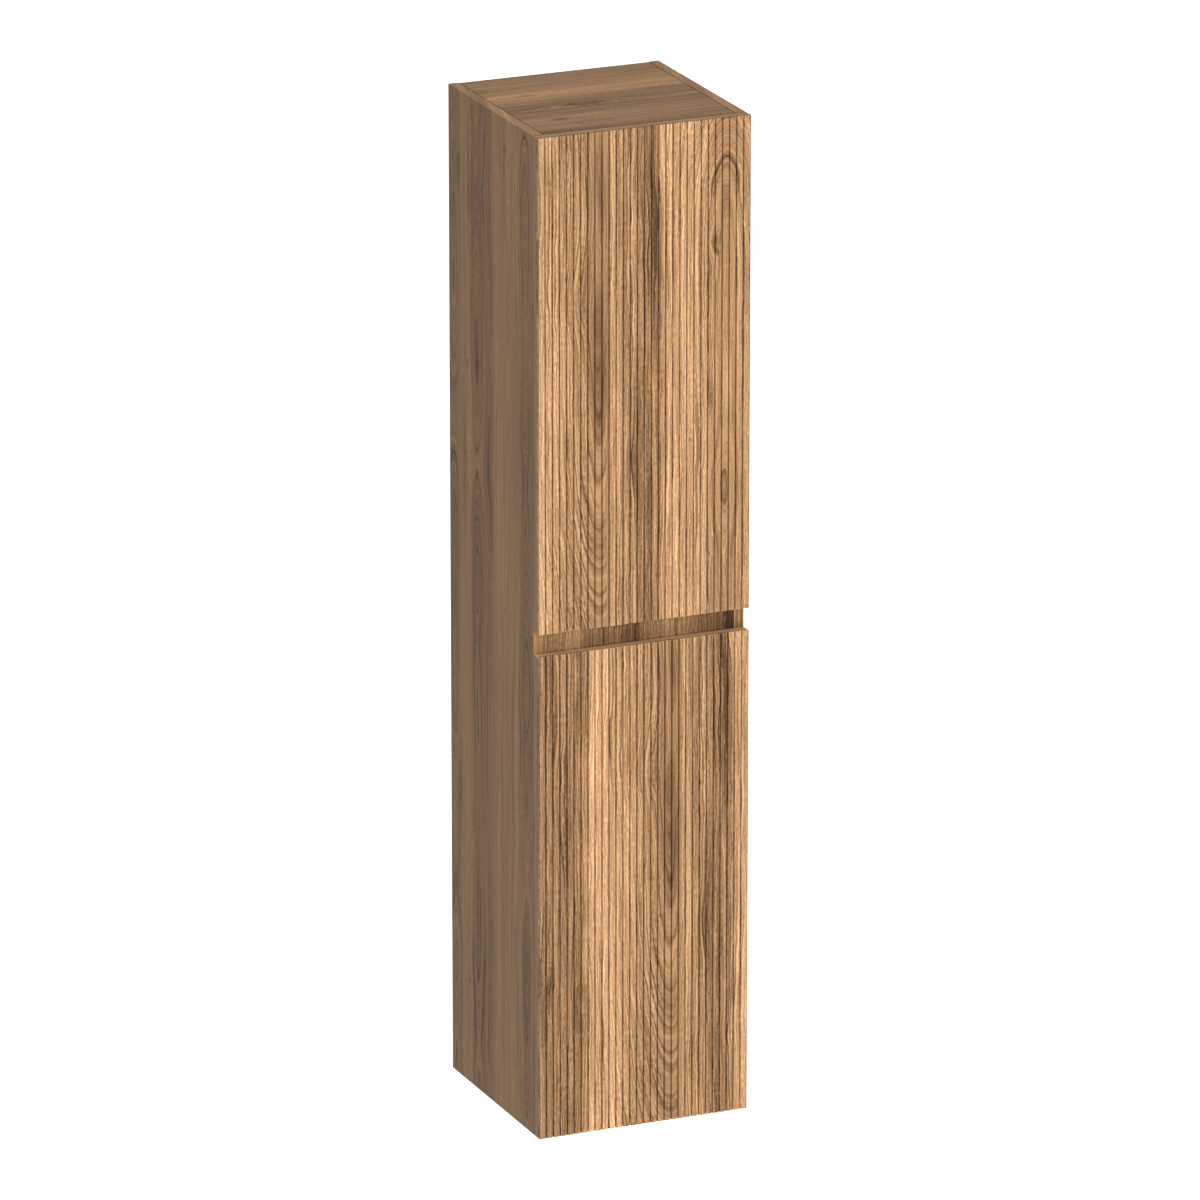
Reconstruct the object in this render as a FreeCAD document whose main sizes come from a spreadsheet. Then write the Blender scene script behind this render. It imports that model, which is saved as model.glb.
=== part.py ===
"""Tall wall-hung column cabinet with two ribbed doors and a finger gap between them.

Frame: X to the right, Y towards the wall, Z up, in millimetres. The wall is the plane y = 0, and the
origin is the centre of the wall plates' screw pattern. Hinges are on the right-hand side.
"""
import FreeCAD
import Part
import Sketcher
import math
import os
import re

SIZES = {
    # overall box, doors included
    "cabinet_width": 350,
    "cabinet_depth": 350,
    "cabinet_height": 1600,
    # carcass boards
    "panel_thickness": 16,
    "top_setback": 3,
    "back_thickness": 8,
    "back_inset": 17,
    "back_groove_depth": 6,
    "groove_clearance": 0.2,
    # finger channel between the doors
    "grip_gap": 36,
    "grip_reach": 27,
    "grip_recess": 27,
    # dowels
    "dowel_radius": 4,
    "dowel_length": 30,
    "dowel_side_depth": 10,
    "dowel_edge": 50,
    "dowel_clearance": 0.05,
    "dowel_relief": 0.5,
    "grip_dowel_spacing": 50,
    # loose shelves and their pins
    "shelf_thickness": 16,
    "shelf_setback": 24,
    "shelf_clearance": 1,
    "pin_radius": 2.5,
    "pin_sunk": 8,
    "pin_reach": 8,
    "pin_collar_radius": 4,
    "pin_collar": 0.8,
    "pin_clearance": 0.05,
    "pin_setback": 37,
    "pin_pitch": 32,
    # doors
    "door_board_thickness": 12,
    "door_face_thickness": 6,
    "door_gap": 1.5,
    "rib_count": 30,
    "rib_groove_width": 2.2,
    "rib_groove_depth": 3,
    "rib_ease": 1,
    "bumper_radius": 4,
    "bumper_clearance": 0.2,
    "bumper_edge": 40,
    # hinges: heights, cup and flange
    "hinge_edge": 100,
    "cup_radius": 17.5,
    "cup_depth": 11.5,
    "cup_edge": 3,
    "cup_wall": 1.2,
    "cup_floor": 0.9,
    "cup_bend": 2,
    "cup_clearance": 0.1,
    "cup_floor_clearance": 0.2,
    "flange_thickness": 0.8,
    "flange_radius": 18.5,
    "flange_end_radius": 7,
    "cup_screw_spacing": 45,
    "cup_screw_offset": 9.5,
    "cup_screw_radius": 1.75,
    "cup_screw_length": 9,
    "cup_screw_head": 3.2,
    "cup_screw_head_rise": 0.4,
    # hinges: pivots and the goose-neck link
    "pivot_radius": 1.25,
    "pivot_fit": 0.02,
    "pivot_running": 0.05,
    "pivot_edge": 8,
    "pivot_depth": 7.5,
    "cup_pivot_length": 21,
    "arm_pivot_in": 12,
    "arm_pivot_back": 4,
    "lug_radius": 2.5,
    "link_width": 8,
    "link_bar": 2.4,
    "link_top_depth": 10.1,
    "link_bend": 12.4,
    "link_half_bar": 1.35,
    # hinges: arm and mounting plate
    "arm_cheek": 1.6,
    "arm_side_gap": 0.6,
    "arm_web": 1.5,
    "arm_web_gap": 0.7,
    "arm_foot": 3.4,
    "arm_length": 64,
    "arm_neck_length": 14,
    "arm_neck_foot": 7.2,
    "arm_nose": 3.4,
    "plate_setback": 37,
    "plate_thickness": 2.5,
    "plate_end_radius": 9,
    "plate_screw_spacing": 32,
    "plate_rail_length": 44,
    "plate_rail_gap": 0.4,
    "plate_rail_height": 12,
    "plate_screw_radius": 3,
    "plate_screw_length": 11,
    "plate_screw_head": 4.5,
    "plate_screw_head_rise": 1.2,
    "arm_screw_radius": 2,
    "arm_screw_length": 7,
    "arm_screw_head": 3.2,
    "arm_screw_head_rise": 1.2,
    "arm_screw_spacing": 22,
    "screw_clearance": 0.05,
    # concealed wall hangers
    "hanger_width": 18,
    "hanger_depth": 42,
    "hanger_height": 62,
    "hanger_wall": 2,
    "hanger_edge": 2,
    "hanger_drop": 2,
    "hanger_peg_radius": 5,
    "hanger_peg_length": 10,
    "hanger_peg_spacing": 32,
    "hanger_peg_setback": 14,
    "hook_width": 10,
    "hook_bar_height": 12,
    "hook_tooth": 2.5,
    "hook_tooth_drop": 10,
    "hook_tooth_gap": 0.5,
    "hook_plate": 4,
    "hook_plate_height": 46,
    "hook_front_room": 8,
    "hook_top_gap": 0.5,
    "hook_window_clearance": 1,
    "hanger_screw_radius": 2.5,
    "hanger_screw_head": 4,
    "hanger_screw_head_rise": 1.5,
    "hanger_screw_spacing": 28,
    # wall plates
    "wall_plate_width": 36,
    "wall_plate_side_gap": 2,
    "wall_plate_thickness": 2.5,
    "wall_plate_half_height": 22,
    "wall_plate_step": 8.5,
    "wall_plate_lip": 13,
    "wall_screw_radius": 3.25,
    "wall_screw_spacing": 28,
    # length by which cutting solids run past the faces that they cut
    "overrun": 2,
}

DOORS = ("lower", "upper")
ENDS = ("low", "high")
SHELF_COUNT = 2
SIDES = {"left": -1, "right": 1}

# Shared places, as formulas in the sheet's words
HALF = "(cabinet_width / 2)"
INNER = "(cabinet_width / 2 - panel_thickness)"
INNER_WIDTH = "(cabinet_width - 2 * panel_thickness)"
DOOR_BACK = "(door_board_thickness + door_face_thickness - cabinet_depth)"
FRONT = f"({DOOR_BACK} + door_gap)"
BACK_FACE = "(-back_inset - back_thickness)"
HOOK_Z = "(wall_plate_half_height + wall_plate_thickness + wall_plate_lip)"
HANGER_TOP = f"({HOOK_Z} + hook_bar_height + hook_top_gap + hanger_wall)"
TOP = f"({HANGER_TOP} + hanger_drop + panel_thickness)"
LOW = f"({TOP} - cabinet_height)"
MIDDLE = f"({TOP} - cabinet_height / 2)"
CHANNEL = "(grip_gap / 2 + grip_reach)"
DOOR_HEIGHT = "((cabinet_height - grip_gap) / 2)"
COMPARTMENT = f"(cabinet_height / 2 - {CHANNEL} - 2 * panel_thickness)"
COMPARTMENT_FLOOR = {
    "lower": f"({LOW} + panel_thickness)",
    "upper": f"({MIDDLE} + {CHANNEL} + panel_thickness)",
}
DOOR_LOW = {"lower": LOW, "upper": f"({TOP} - {DOOR_HEIGHT})"}
CROSS_PANELS = {
    "bottom_panel": LOW,
    "lower_fixed_shelf": f"({MIDDLE} - {CHANNEL} - panel_thickness)",
    "upper_fixed_shelf": f"({MIDDLE} + {CHANNEL})",
    "top_panel": f"({TOP} - panel_thickness)",
}

WORD = re.compile(r"[a-z_]\w*")
TURNS = {
    "+X": FreeCAD.Rotation(FreeCAD.Vector(0, 1, 0), 90),
    "-X": FreeCAD.Rotation(FreeCAD.Vector(0, 1, 0), -90),
    "+Y": FreeCAD.Rotation(FreeCAD.Vector(1, 0, 0), -90),
    "-Y": FreeCAD.Rotation(FreeCAD.Vector(1, 0, 0), 90),
    "+Z": FreeCAD.Rotation(),
}
# Sketch planes: drawn in X and Y, in Y and Z, or in X and Z, and raised upwards, to the right or forwards
PLANES = {
    "level": FreeCAD.Rotation(),
    "side": FreeCAD.Rotation(FreeCAD.Vector(1, 1, 1), 120),
    "front": TURNS["-Y"],
}

doc = FreeCAD.newDocument("RibbedDoorCabinet")
sheet = doc.addObject("Spreadsheet::Sheet", "Sizes")
for row, (size_name, size) in enumerate(SIZES.items(), start=1):
    sheet.set(f"A{row}", size_name)
    sheet.set(f"B{row}", str(size))
    sheet.setAlias(f"B{row}", size_name)
doc.recompute()
nodes = []


def bound(formula):
    """A formula in the sheet's words as an expression on its cells."""
    return WORD.sub(lambda word: "Sizes." + word.group(), formula)


def measured(formula):
    """The formula's present value, for a sketch to start from."""
    return float(sheet.evalExpression(bound(formula)))


def bind(item, **formulas):
    """Ties properties of an object to formulas."""
    for name, formula in formulas.items():
        item.setExpression(name, bound(formula))


def place(item, x, y, z):
    """Ties an object's position to three formulas."""
    for axis, formula in zip("xyz", (x, y, z)):
        item.setExpression(f"Placement.Base.{axis}", bound(formula))


def node(item, label):
    """Names a finished sub-part."""
    item.Label = label
    nodes.append(item)
    return item


def box(x, y, z, length, width, height):
    """Block with its lowest corner at x, y, z."""
    block = doc.addObject("Part::Box", "Block")
    bind(block, Length=length, Width=width, Height=height)
    place(block, x, y, z)
    return block


def rod(axis, x, y, z, radius, length):
    """Cylinder that starts at x, y, z and runs along an axis."""
    cylinder = doc.addObject("Part::Cylinder", "Rod")
    cylinder.Placement = FreeCAD.Placement(FreeCAD.Vector(), TURNS[axis])
    bind(cylinder, Radius=radius, Height=length)
    place(cylinder, x, y, z)
    return cylinder


def fused(*pieces):
    """One solid made of several."""
    joined = doc.addObject("Part::MultiFuse", "Joined")
    joined.Shapes = list(pieces)
    joined.Refine = True
    return joined


def cut(base, *tools):
    """A solid less one or more tools."""
    result = doc.addObject("Part::Cut", "Cut")
    result.Base = base
    result.Tool = tools[0] if len(tools) == 1 else fused(*tools)
    result.Refine = True
    return result


def group(pieces, label):
    """Separate like solids kept as one sub-part."""
    together = doc.addObject("Part::Compound", "Group")
    together.Links = list(pieces)
    return node(together, label)


def new_body(plane, x="0", y="0", z="0"):
    """A body whose sketches lie in one plane, shifted by x, y and z."""
    body = doc.addObject("PartDesign::Body", "Body")
    body.Placement = FreeCAD.Placement(FreeCAD.Vector(), PLANES[plane])
    place(body, x, y, z)
    return body


def new_sketch(body):
    """A sketch on the body's own base plane."""
    sketch = body.newObject("Sketcher::SketchObject", "Sketch")
    base = [item for item in body.Origin.OriginFeatures if item.Role == "XY_Plane"][0]
    sketch.AttachmentSupport = [(base, "")]
    sketch.MapMode = "FlatFace"
    return sketch


def pin_point(sketch, geometry, point, x, y):
    """Ties one point of a sketch to two formulas."""
    for kind, formula in (("DistanceX", x), ("DistanceY", y)):
        number = sketch.addConstraint(
            Sketcher.Constraint(kind, -1, 1, geometry, point, measured(formula)))
        sketch.setExpression(f"Constraints[{number}]", bound(formula))


def draw_polygon(body, points):
    """Closed outline with straight sides through the given points."""
    sketch = new_sketch(body)
    corners = [FreeCAD.Vector(measured(x), measured(y), 0) for x, y in points]
    for i, corner in enumerate(corners):
        sketch.addGeometry(Part.LineSegment(corner, corners[(i + 1) % len(corners)]))
    for i in range(len(corners)):
        sketch.addConstraint(Sketcher.Constraint("Coincident", i, 2, (i + 1) % len(corners), 1))
    for i, (x, y) in enumerate(points):
        pin_point(sketch, i, 1, x, y)
    return sketch


def draw_circles(body, centres, radius):
    """Circles of one radius."""
    sketch = new_sketch(body)
    for i, (x, y) in enumerate(centres):
        centre = FreeCAD.Vector(measured(x), measured(y), 0)
        sketch.addGeometry(Part.Circle(centre, FreeCAD.Vector(0, 0, 1), measured(radius)))
        pin_point(sketch, i, 3, x, y)
        number = sketch.addConstraint(Sketcher.Constraint("Radius", i, measured(radius)))
        sketch.setExpression(f"Constraints[{number}]", bound(radius))
    return sketch


def pad(body, sketch, length):
    """Raises a sketch into a solid."""
    raised = body.newObject("PartDesign::Pad", "Pad")
    raised.Profile = sketch
    bind(raised, Length=length)
    return raised


def pocket(body, sketch):
    """Cuts a sketch right through the solid above its plane."""
    hollow = body.newObject("PartDesign::Pocket", "Pocket")
    hollow.Profile = sketch
    hollow.Type = "ThroughAll"
    hollow.Reversed = True
    return hollow


def rounded(body, feature, direction, radius):
    """Rounds the edges that lie furthest along a direction in the body's own frame."""
    doc.recompute()
    reaches = [edge.CenterOfMass.dot(direction) for edge in feature.Shape.Edges]
    picked = [i for i, reach in enumerate(reaches, start=1) if math.isclose(reach, max(reaches))]
    fillet = body.newObject("PartDesign::Fillet", "Fillet")
    fillet.Base = (feature, [f"Edge{i}" for i in picked])
    bind(fillet, Radius=radius)
    return fillet


def hinge_x(inward):
    """Place across the cabinet, by distance inwards from the right panel's inner face."""
    return f"({INNER} - ({inward}))"


def hinge_y(forward):
    """Place front to back, by distance forwards of the carcass's front edges."""
    return f"({FRONT} - ({forward}))"


ARM_PIVOT = (hinge_x("arm_pivot_in"), hinge_y("-arm_pivot_back"))
DOOR_PIVOT = (hinge_x("pivot_edge - panel_thickness"), hinge_y("door_gap + pivot_depth"))
CUP_X = f"({HALF} - cup_edge - cup_radius)"
HINGE_Z = {
    (door, end): f"({DOOR_LOW[door]} + {height})"
    for door in DOORS
    for end, height in (("low", "hinge_edge"), ("high", f"({DOOR_HEIGHT} - hinge_edge)"))
}
HANGER_Z = f"({HANGER_TOP} - hanger_height)"
PEG_Z = [f"({HANGER_Z} + hanger_height / 2 {sign} hanger_peg_spacing / 2)" for sign in "-+"]
PEG_Y = f"({BACK_FACE} - hanger_peg_setback)"
DOWEL_Y = (f"({FRONT} + dowel_edge)", f"({BACK_FACE} - dowel_edge)")
GRIP_MIDDLE_Y = f"({FRONT} + grip_recess + panel_thickness / 2)"


def shelf_low(compartment, number):
    """Underside of a loose shelf: the shelves share the compartment's clear height evenly."""
    clear = f"({COMPARTMENT} - {SHELF_COUNT} * shelf_thickness) / {SHELF_COUNT + 1}"
    floor = COMPARTMENT_FLOOR[compartment]
    return f"({floor} + {number} * {clear} + {number - 1} * shelf_thickness)"


def shelf_pin_places():
    """Front-to-back place and height of every pin, by compartment."""
    columns = (f"({FRONT} + pin_setback)", f"({BACK_FACE} - pin_setback)")
    return {
        compartment: [
            (y, f"({shelf_low(compartment, number)} - pin_radius)")
            for number in range(1, SHELF_COUNT + 1)
            for y in columns
        ]
        for compartment in DOORS
    }


def dowel_places():
    """Front-to-back place and height of the dowels at one side."""
    cross = [(y, f"({z} + panel_thickness / 2)") for z in CROSS_PANELS.values() for y in DOWEL_Y]
    grip = [(GRIP_MIDDLE_Y, f"({MIDDLE} {sign} grip_dowel_spacing / 2)") for sign in "-+"]
    return cross, grip


def dowel_bores(places):
    """Bores for the dowels at both ends of a cross panel."""
    length = "dowel_length - dowel_side_depth + dowel_relief + overrun"
    radius = "dowel_radius + dowel_clearance"
    return [
        rod(axis, f"{sign} * ({INNER} + overrun)", y, z, radius, length)
        for y, z in places
        for axis, sign in (("+X", -1), ("-X", 1))
    ]


def back_groove(x, z, length, height):
    """Cutter for a stretch of the back panel's groove."""
    y = f"({BACK_FACE} - groove_clearance)"
    return box(x, y, z, length, "back_thickness + 2 * groove_clearance", height)


def side_panel(side):
    """Full-height side with its groove, dowel bores, pin rows, hanger bores and hinge screw bores."""
    sign = SIDES[side]
    inward = "+X" if sign > 0 else "-X"
    x = INNER if sign > 0 else f"(-{HALF})"
    face = f"{sign} * ({INNER} - overrun)"
    board = box(x, FRONT, LOW, "panel_thickness", f"-{FRONT}", "cabinet_height")
    cross, grip = dowel_places()
    bores = [
        rod(inward, face, y, z, "dowel_radius + dowel_clearance",
            "dowel_side_depth + dowel_relief + overrun")
        for y, z in cross + grip
    ]
    bores += [
        rod(inward, face, y, f"{z} + {step} * pin_pitch", "pin_radius + pin_clearance",
            "pin_sunk + dowel_relief + overrun")
        for places in shelf_pin_places().values()
        for y, z in places
        for step in (-1, 0, 1)
    ]
    bores += [
        rod(inward, face, PEG_Y, z, "hanger_peg_radius + pin_clearance",
            "hanger_peg_length + dowel_relief + overrun")
        for z in PEG_Z
    ]
    if sign > 0:
        bores += [
            rod(inward, face, hinge_y("-plate_setback"), z, "plate_screw_radius + screw_clearance",
                "plate_screw_length - plate_thickness + dowel_relief + overrun")
            for z in plate_screw_heights()
        ]
    groove_x = f"({INNER} - overrun)" if sign > 0 else f"(-{INNER} - back_groove_depth)"
    run = "cabinet_height - 2 * panel_thickness + 2 * back_groove_depth"
    groove = back_groove(groove_x, f"({LOW} + panel_thickness - back_groove_depth)",
                         "back_groove_depth + overrun", run)
    node(cut(board, groove, *bores), f"side_panel_{side}")


def cross_panel(label):
    """Level board between the sides: top, bottom or fixed shelf."""
    z = CROSS_PANELS[label]
    outer = label in ("top_panel", "bottom_panel")
    rear = "(-top_setback)" if outer else BACK_FACE
    board = box(f"-{INNER}", FRONT, z, INNER_WIDTH, f"{rear} - {FRONT}", "panel_thickness")
    tools = dowel_bores([(y, f"({z} + panel_thickness / 2)") for y in DOWEL_Y])
    if outer:
        start = f"({z} - overrun)" if label == "top_panel" else f"({z} + panel_thickness - back_groove_depth)"
        tools.append(back_groove(f"-{HALF}", start, "cabinet_width", "back_groove_depth + overrun"))
    node(cut(board, *tools), label)


def grip_board():
    """Upright board at the back of the finger channel."""
    board = box(f"-{INNER}", f"{FRONT} + grip_recess", f"{MIDDLE} - {CHANNEL}",
                INNER_WIDTH, "panel_thickness", f"2 * {CHANNEL}")
    node(cut(board, *dowel_bores(dowel_places()[1])), "grip_board")


def back_panel():
    """Thin back that slides in the grooves, with a window for each hanger's hook."""
    reach = "(back_groove_depth - groove_clearance)"
    board = box(f"-{INNER} - {reach}", BACK_FACE, f"{LOW} + panel_thickness - {reach}",
                f"{INNER_WIDTH} + 2 * {reach}", "back_thickness",
                f"cabinet_height - 2 * panel_thickness + 2 * {reach}")
    windows = [
        box(f"{sign} * {HOOK_X} - hook_width / 2 - hook_window_clearance", f"{BACK_FACE} - overrun",
            f"{HOOK_Z} - hook_window_clearance", "hook_width + 2 * hook_window_clearance",
            "back_thickness + 2 * overrun", "hook_bar_height + 2 * hook_window_clearance")
        for sign in SIDES.values()
    ]
    node(cut(board, *windows), "back_panel")


def carcass_dowels():
    """Dowels of all the carcass joints."""
    cross, grip = dowel_places()
    pegs = [
        rod(axis, f"{sign} * ({INNER} + dowel_side_depth)", y, z, "dowel_radius", "dowel_length")
        for y, z in cross + grip
        for axis, sign in (("+X", -1), ("-X", 1))
    ]
    group(pegs, "carcass_dowels")


def loose_shelf(compartment, number):
    """Adjustable shelf that rests on four pins."""
    board = box(f"-{INNER} + shelf_clearance", f"{FRONT} + shelf_setback", shelf_low(compartment, number),
                f"{INNER_WIDTH} - 2 * shelf_clearance",
                f"{BACK_FACE} - {FRONT} - shelf_setback - shelf_clearance", "shelf_thickness")
    node(board, f"{compartment}_shelf_{number}")


def shelf_pins(compartment):
    """Collared pins under the loose shelves of one compartment."""
    pins = []
    for y, z in shelf_pin_places()[compartment]:
        for axis, sign in (("+X", -1), ("-X", 1)):
            shank = rod(axis, f"{sign} * ({INNER} + pin_sunk)", y, z, "pin_radius", "pin_sunk + pin_reach")
            collar = rod(axis, f"{sign} * {INNER}", y, z, "pin_collar_radius", "pin_collar")
            pins.append(fused(shank, collar))
    group(pins, f"{compartment}_shelf_pins")


HOOK_X = f"({INNER} - hanger_width / 2)"
HOOK_PLATE_Y = f"({BACK_FACE} - hanger_depth + hanger_wall + hook_front_room)"
HANGER_SCREW_Z = [
    f"({HOOK_Z} + hook_bar_height / 2 - {step} * hanger_screw_spacing)" for step in (0, 1)
]


def hanger_housing(side):
    """Moulded housing of a concealed hanger, pegged to the side and open at the back for its hook."""
    sign = SIDES[side]
    left, right = (f"({sign} * {HOOK_X} {half} hanger_width / 2)" for half in "-+")
    front = f"({BACK_FACE} - hanger_depth)"
    body = new_body("level", z=HANGER_Z)
    corners = [(left, front), (right, front), (right, BACK_FACE), (left, BACK_FACE)]
    block = pad(body, draw_polygon(body, corners), "hanger_height")
    body.Tip = rounded(body, block, FreeCAD.Vector(0, -1, 0), "hanger_edge")
    hollow = box(f"{left} + hanger_wall", f"{front} + hanger_wall", f"{HANGER_Z} + hanger_wall",
                 "hanger_width - 2 * hanger_wall", "hanger_depth", "hanger_height - 2 * hanger_wall")
    holes = [
        rod("-Y", f"{sign} * {HOOK_X}", f"{front} + hanger_wall + overrun", z,
            "hanger_screw_radius + screw_clearance", "hanger_wall + 2 * overrun")
        for z in HANGER_SCREW_Z
    ]
    outward = "+X" if sign > 0 else "-X"
    pegs = [
        rod(outward, f"{sign} * ({INNER} - hanger_wall / 2)", PEG_Y, z, "hanger_peg_radius",
            "hanger_peg_length + hanger_wall / 2")
        for z in PEG_Z
    ]
    node(fused(cut(body, hollow, *holes), *pegs), f"hanger_housing_{side}")


def hanger_hook(side):
    """Hook that reaches through the back panel and drops its tooth behind the wall plate's lip."""
    body = new_body("side", x=f"({SIDES[side]} * {HOOK_X} - hook_width / 2)")
    plate_back = f"({HOOK_PLATE_Y} + hook_plate)"
    top = f"({HOOK_Z} + hook_bar_height)"
    plate_low = f"({top} - hook_plate_height)"
    tooth = "(-wall_plate_step + wall_plate_thickness + hook_tooth_gap)"
    tooth_back = f"({tooth} + hook_tooth)"
    tooth_low = f"({HOOK_Z} - hook_tooth_drop)"
    outline = [
        (HOOK_PLATE_Y, top),
        (HOOK_PLATE_Y, plate_low),
        (plate_back, plate_low),
        (plate_back, HOOK_Z),
        (tooth, HOOK_Z),
        (tooth, tooth_low),
        (tooth_back, tooth_low),
        (tooth_back, top),
    ]
    body.Tip = pad(body, draw_polygon(body, outline), "hook_width")
    node(body, f"hanger_hook_{side}")


def hanger_adjusting_screws():
    """Two screws in the front of each hanger that bear on its hook plate."""
    seat = f"({BACK_FACE} - hanger_depth)"
    screws = []
    for sign in SIDES.values():
        for z in HANGER_SCREW_Z:
            x = f"{sign} * {HOOK_X}"
            shank = rod("+Y", x, seat, z, "hanger_screw_radius", f"{HOOK_PLATE_Y} - {seat}")
            head = rod("-Y", x, seat, z, "hanger_screw_head", "hanger_screw_head_rise")
            screws.append(fused(shank, head))
    group(screws, "hanger_adjusting_screws")


def wall_plate(side):
    """Plate screwed to the wall, folded out at the top into a lip that carries the hook."""
    middle = f"({SIDES[side]} * ({INNER} - wall_plate_side_gap - wall_plate_width / 2))"
    body = new_body("side", x=f"({middle} - wall_plate_width / 2)")
    fold = "(wall_plate_half_height + wall_plate_thickness)"
    lip_back = "(wall_plate_thickness - wall_plate_step)"
    outline = [
        ("0", "-wall_plate_half_height"),
        ("0", fold),
        (lip_back, fold),
        (lip_back, HOOK_Z),
        ("-wall_plate_step", HOOK_Z),
        ("-wall_plate_step", "wall_plate_half_height"),
        ("-wall_plate_thickness", "wall_plate_half_height"),
        ("-wall_plate_thickness", "-wall_plate_half_height"),
    ]
    body.Tip = pad(body, draw_polygon(body, outline), "wall_plate_width")
    holes = [
        rod("-Y", middle, "overrun", f"{half} * wall_screw_spacing / 2", "wall_screw_radius",
            "wall_plate_thickness + 2 * overrun")
        for half in (-1, 1)
    ]
    node(cut(body, *holes), f"wall_plate_{side}")


def door_board(door):
    """Carrier board of a door, bored for the hinge cups and their screws."""
    y = "(door_face_thickness - cabinet_depth)"
    board = box(f"-{HALF}", y, DOOR_LOW[door], "cabinet_width", "door_board_thickness", DOOR_HEIGHT)
    start = f"({DOOR_BACK} + overrun)"
    tools = []
    for end in ENDS:
        z = HINGE_Z[door, end]
        tools.append(rod("-Y", CUP_X, start, z, "cup_radius", "cup_depth + overrun"))
        tools += [
            rod("-Y", f"{CUP_X} - cup_screw_offset", start, screw_z,
                "cup_screw_radius + screw_clearance",
                "cup_screw_length - flange_thickness + dowel_relief + overrun")
            for screw_z in cup_screw_heights(z)
        ]
    node(cut(board, *tools), f"{door}_door_board")


def door_face(door):
    """Ribbed face of a door: a flat sheet with evenly spaced upright grooves."""
    body = node(new_body("level", z=DOOR_LOW[door]), f"{door}_door_face")
    front = "(-cabinet_depth)"
    rear = "(door_face_thickness - cabinet_depth)"
    corners = [(f"-{HALF}", front), (HALF, front), (HALF, rear), (f"-{HALF}", rear)]
    pad(body, draw_polygon(body, corners), DOOR_HEIGHT)
    groove = pocket(body, draw_groove(body, front))
    row = body.newObject("PartDesign::LinearPattern", "Grooves")
    row.Originals = [groove]
    row.Direction = (groove.Profile[0], ["H_Axis"])
    bind(row, Length="cabinet_width * (rib_count - 2) / rib_count", Occurrences="rib_count - 1")
    body.Tip = row


def draw_groove(body, front):
    """Section of the first groove, with rounded shoulders that meet the face smoothly."""
    sketch = new_sketch(body)
    middle = f"(cabinet_width / rib_count - {HALF})"
    near = [f"({middle} {sign} rib_groove_width / 2)" for sign in "-+"]
    far = [f"({middle} {sign} (rib_groove_width / 2 + rib_ease))" for sign in "-+"]
    eased = f"({front} + rib_ease)"
    floor = f"({front} + rib_groove_depth)"
    lines = [
        ((near[0], eased), (near[0], floor)),
        ((near[0], floor), (near[1], floor)),
        ((near[1], floor), (near[1], eased)),
        ((far[1], front), (far[0], front)),
    ]
    for i, (start, end) in enumerate(lines):
        ends = [FreeCAD.Vector(measured(x), measured(y), 0) for x, y in (start, end)]
        sketch.addGeometry(Part.LineSegment(*ends))
        pin_point(sketch, i, 1, *start)
        pin_point(sketch, i, 2, *end)
    for x, first, last, ends in ((far[0], -1, 0, ((2, 0, 1), (1, 3, 2))),
                                 (far[1], 2, 3, ((1, 2, 2), (2, 3, 1)))):
        centre = FreeCAD.Vector(measured(x), measured(eased), 0)
        circle = Part.Circle(centre, FreeCAD.Vector(0, 0, 1), measured("rib_ease"))
        sketch.addGeometry(Part.ArcOfCircle(circle, first * math.pi / 2, last * math.pi / 2))
        arc = sketch.GeometryCount - 1
        for arc_end, line, line_end in ends:
            sketch.addConstraint(Sketcher.Constraint("Coincident", arc, arc_end, line, line_end))
        number = sketch.addConstraint(Sketcher.Constraint("Radius", arc, measured("rib_ease")))
        sketch.setExpression(f"Constraints[{number}]", bound("rib_ease"))
    return sketch


def door_bumpers(door):
    """Small pads near the free edge that meet the left side's front edge."""
    x = f"(panel_thickness / 2 - {HALF})"
    low, high = DOOR_LOW[door], f"({DOOR_LOW[door]} + {DOOR_HEIGHT})"
    pads = [
        rod("+Y", x, DOOR_BACK, z, "bumper_radius", "door_gap - bumper_clearance")
        for z in (f"({low} + bumper_edge)", f"({high} - bumper_edge)")
    ]
    group(pads, f"{door}_door_bumpers")


def cup_screw_heights(z):
    """Heights of a cup's two screws."""
    return [f"({z} {sign} cup_screw_spacing / 2)" for sign in "-+"]


def plate_screw_heights(hinge_heights=tuple(HINGE_Z.values())):
    """Heights of the mounting plates' screws."""
    return [f"({z} {sign} plate_screw_spacing / 2)" for z in hinge_heights for sign in "-+"]


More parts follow.
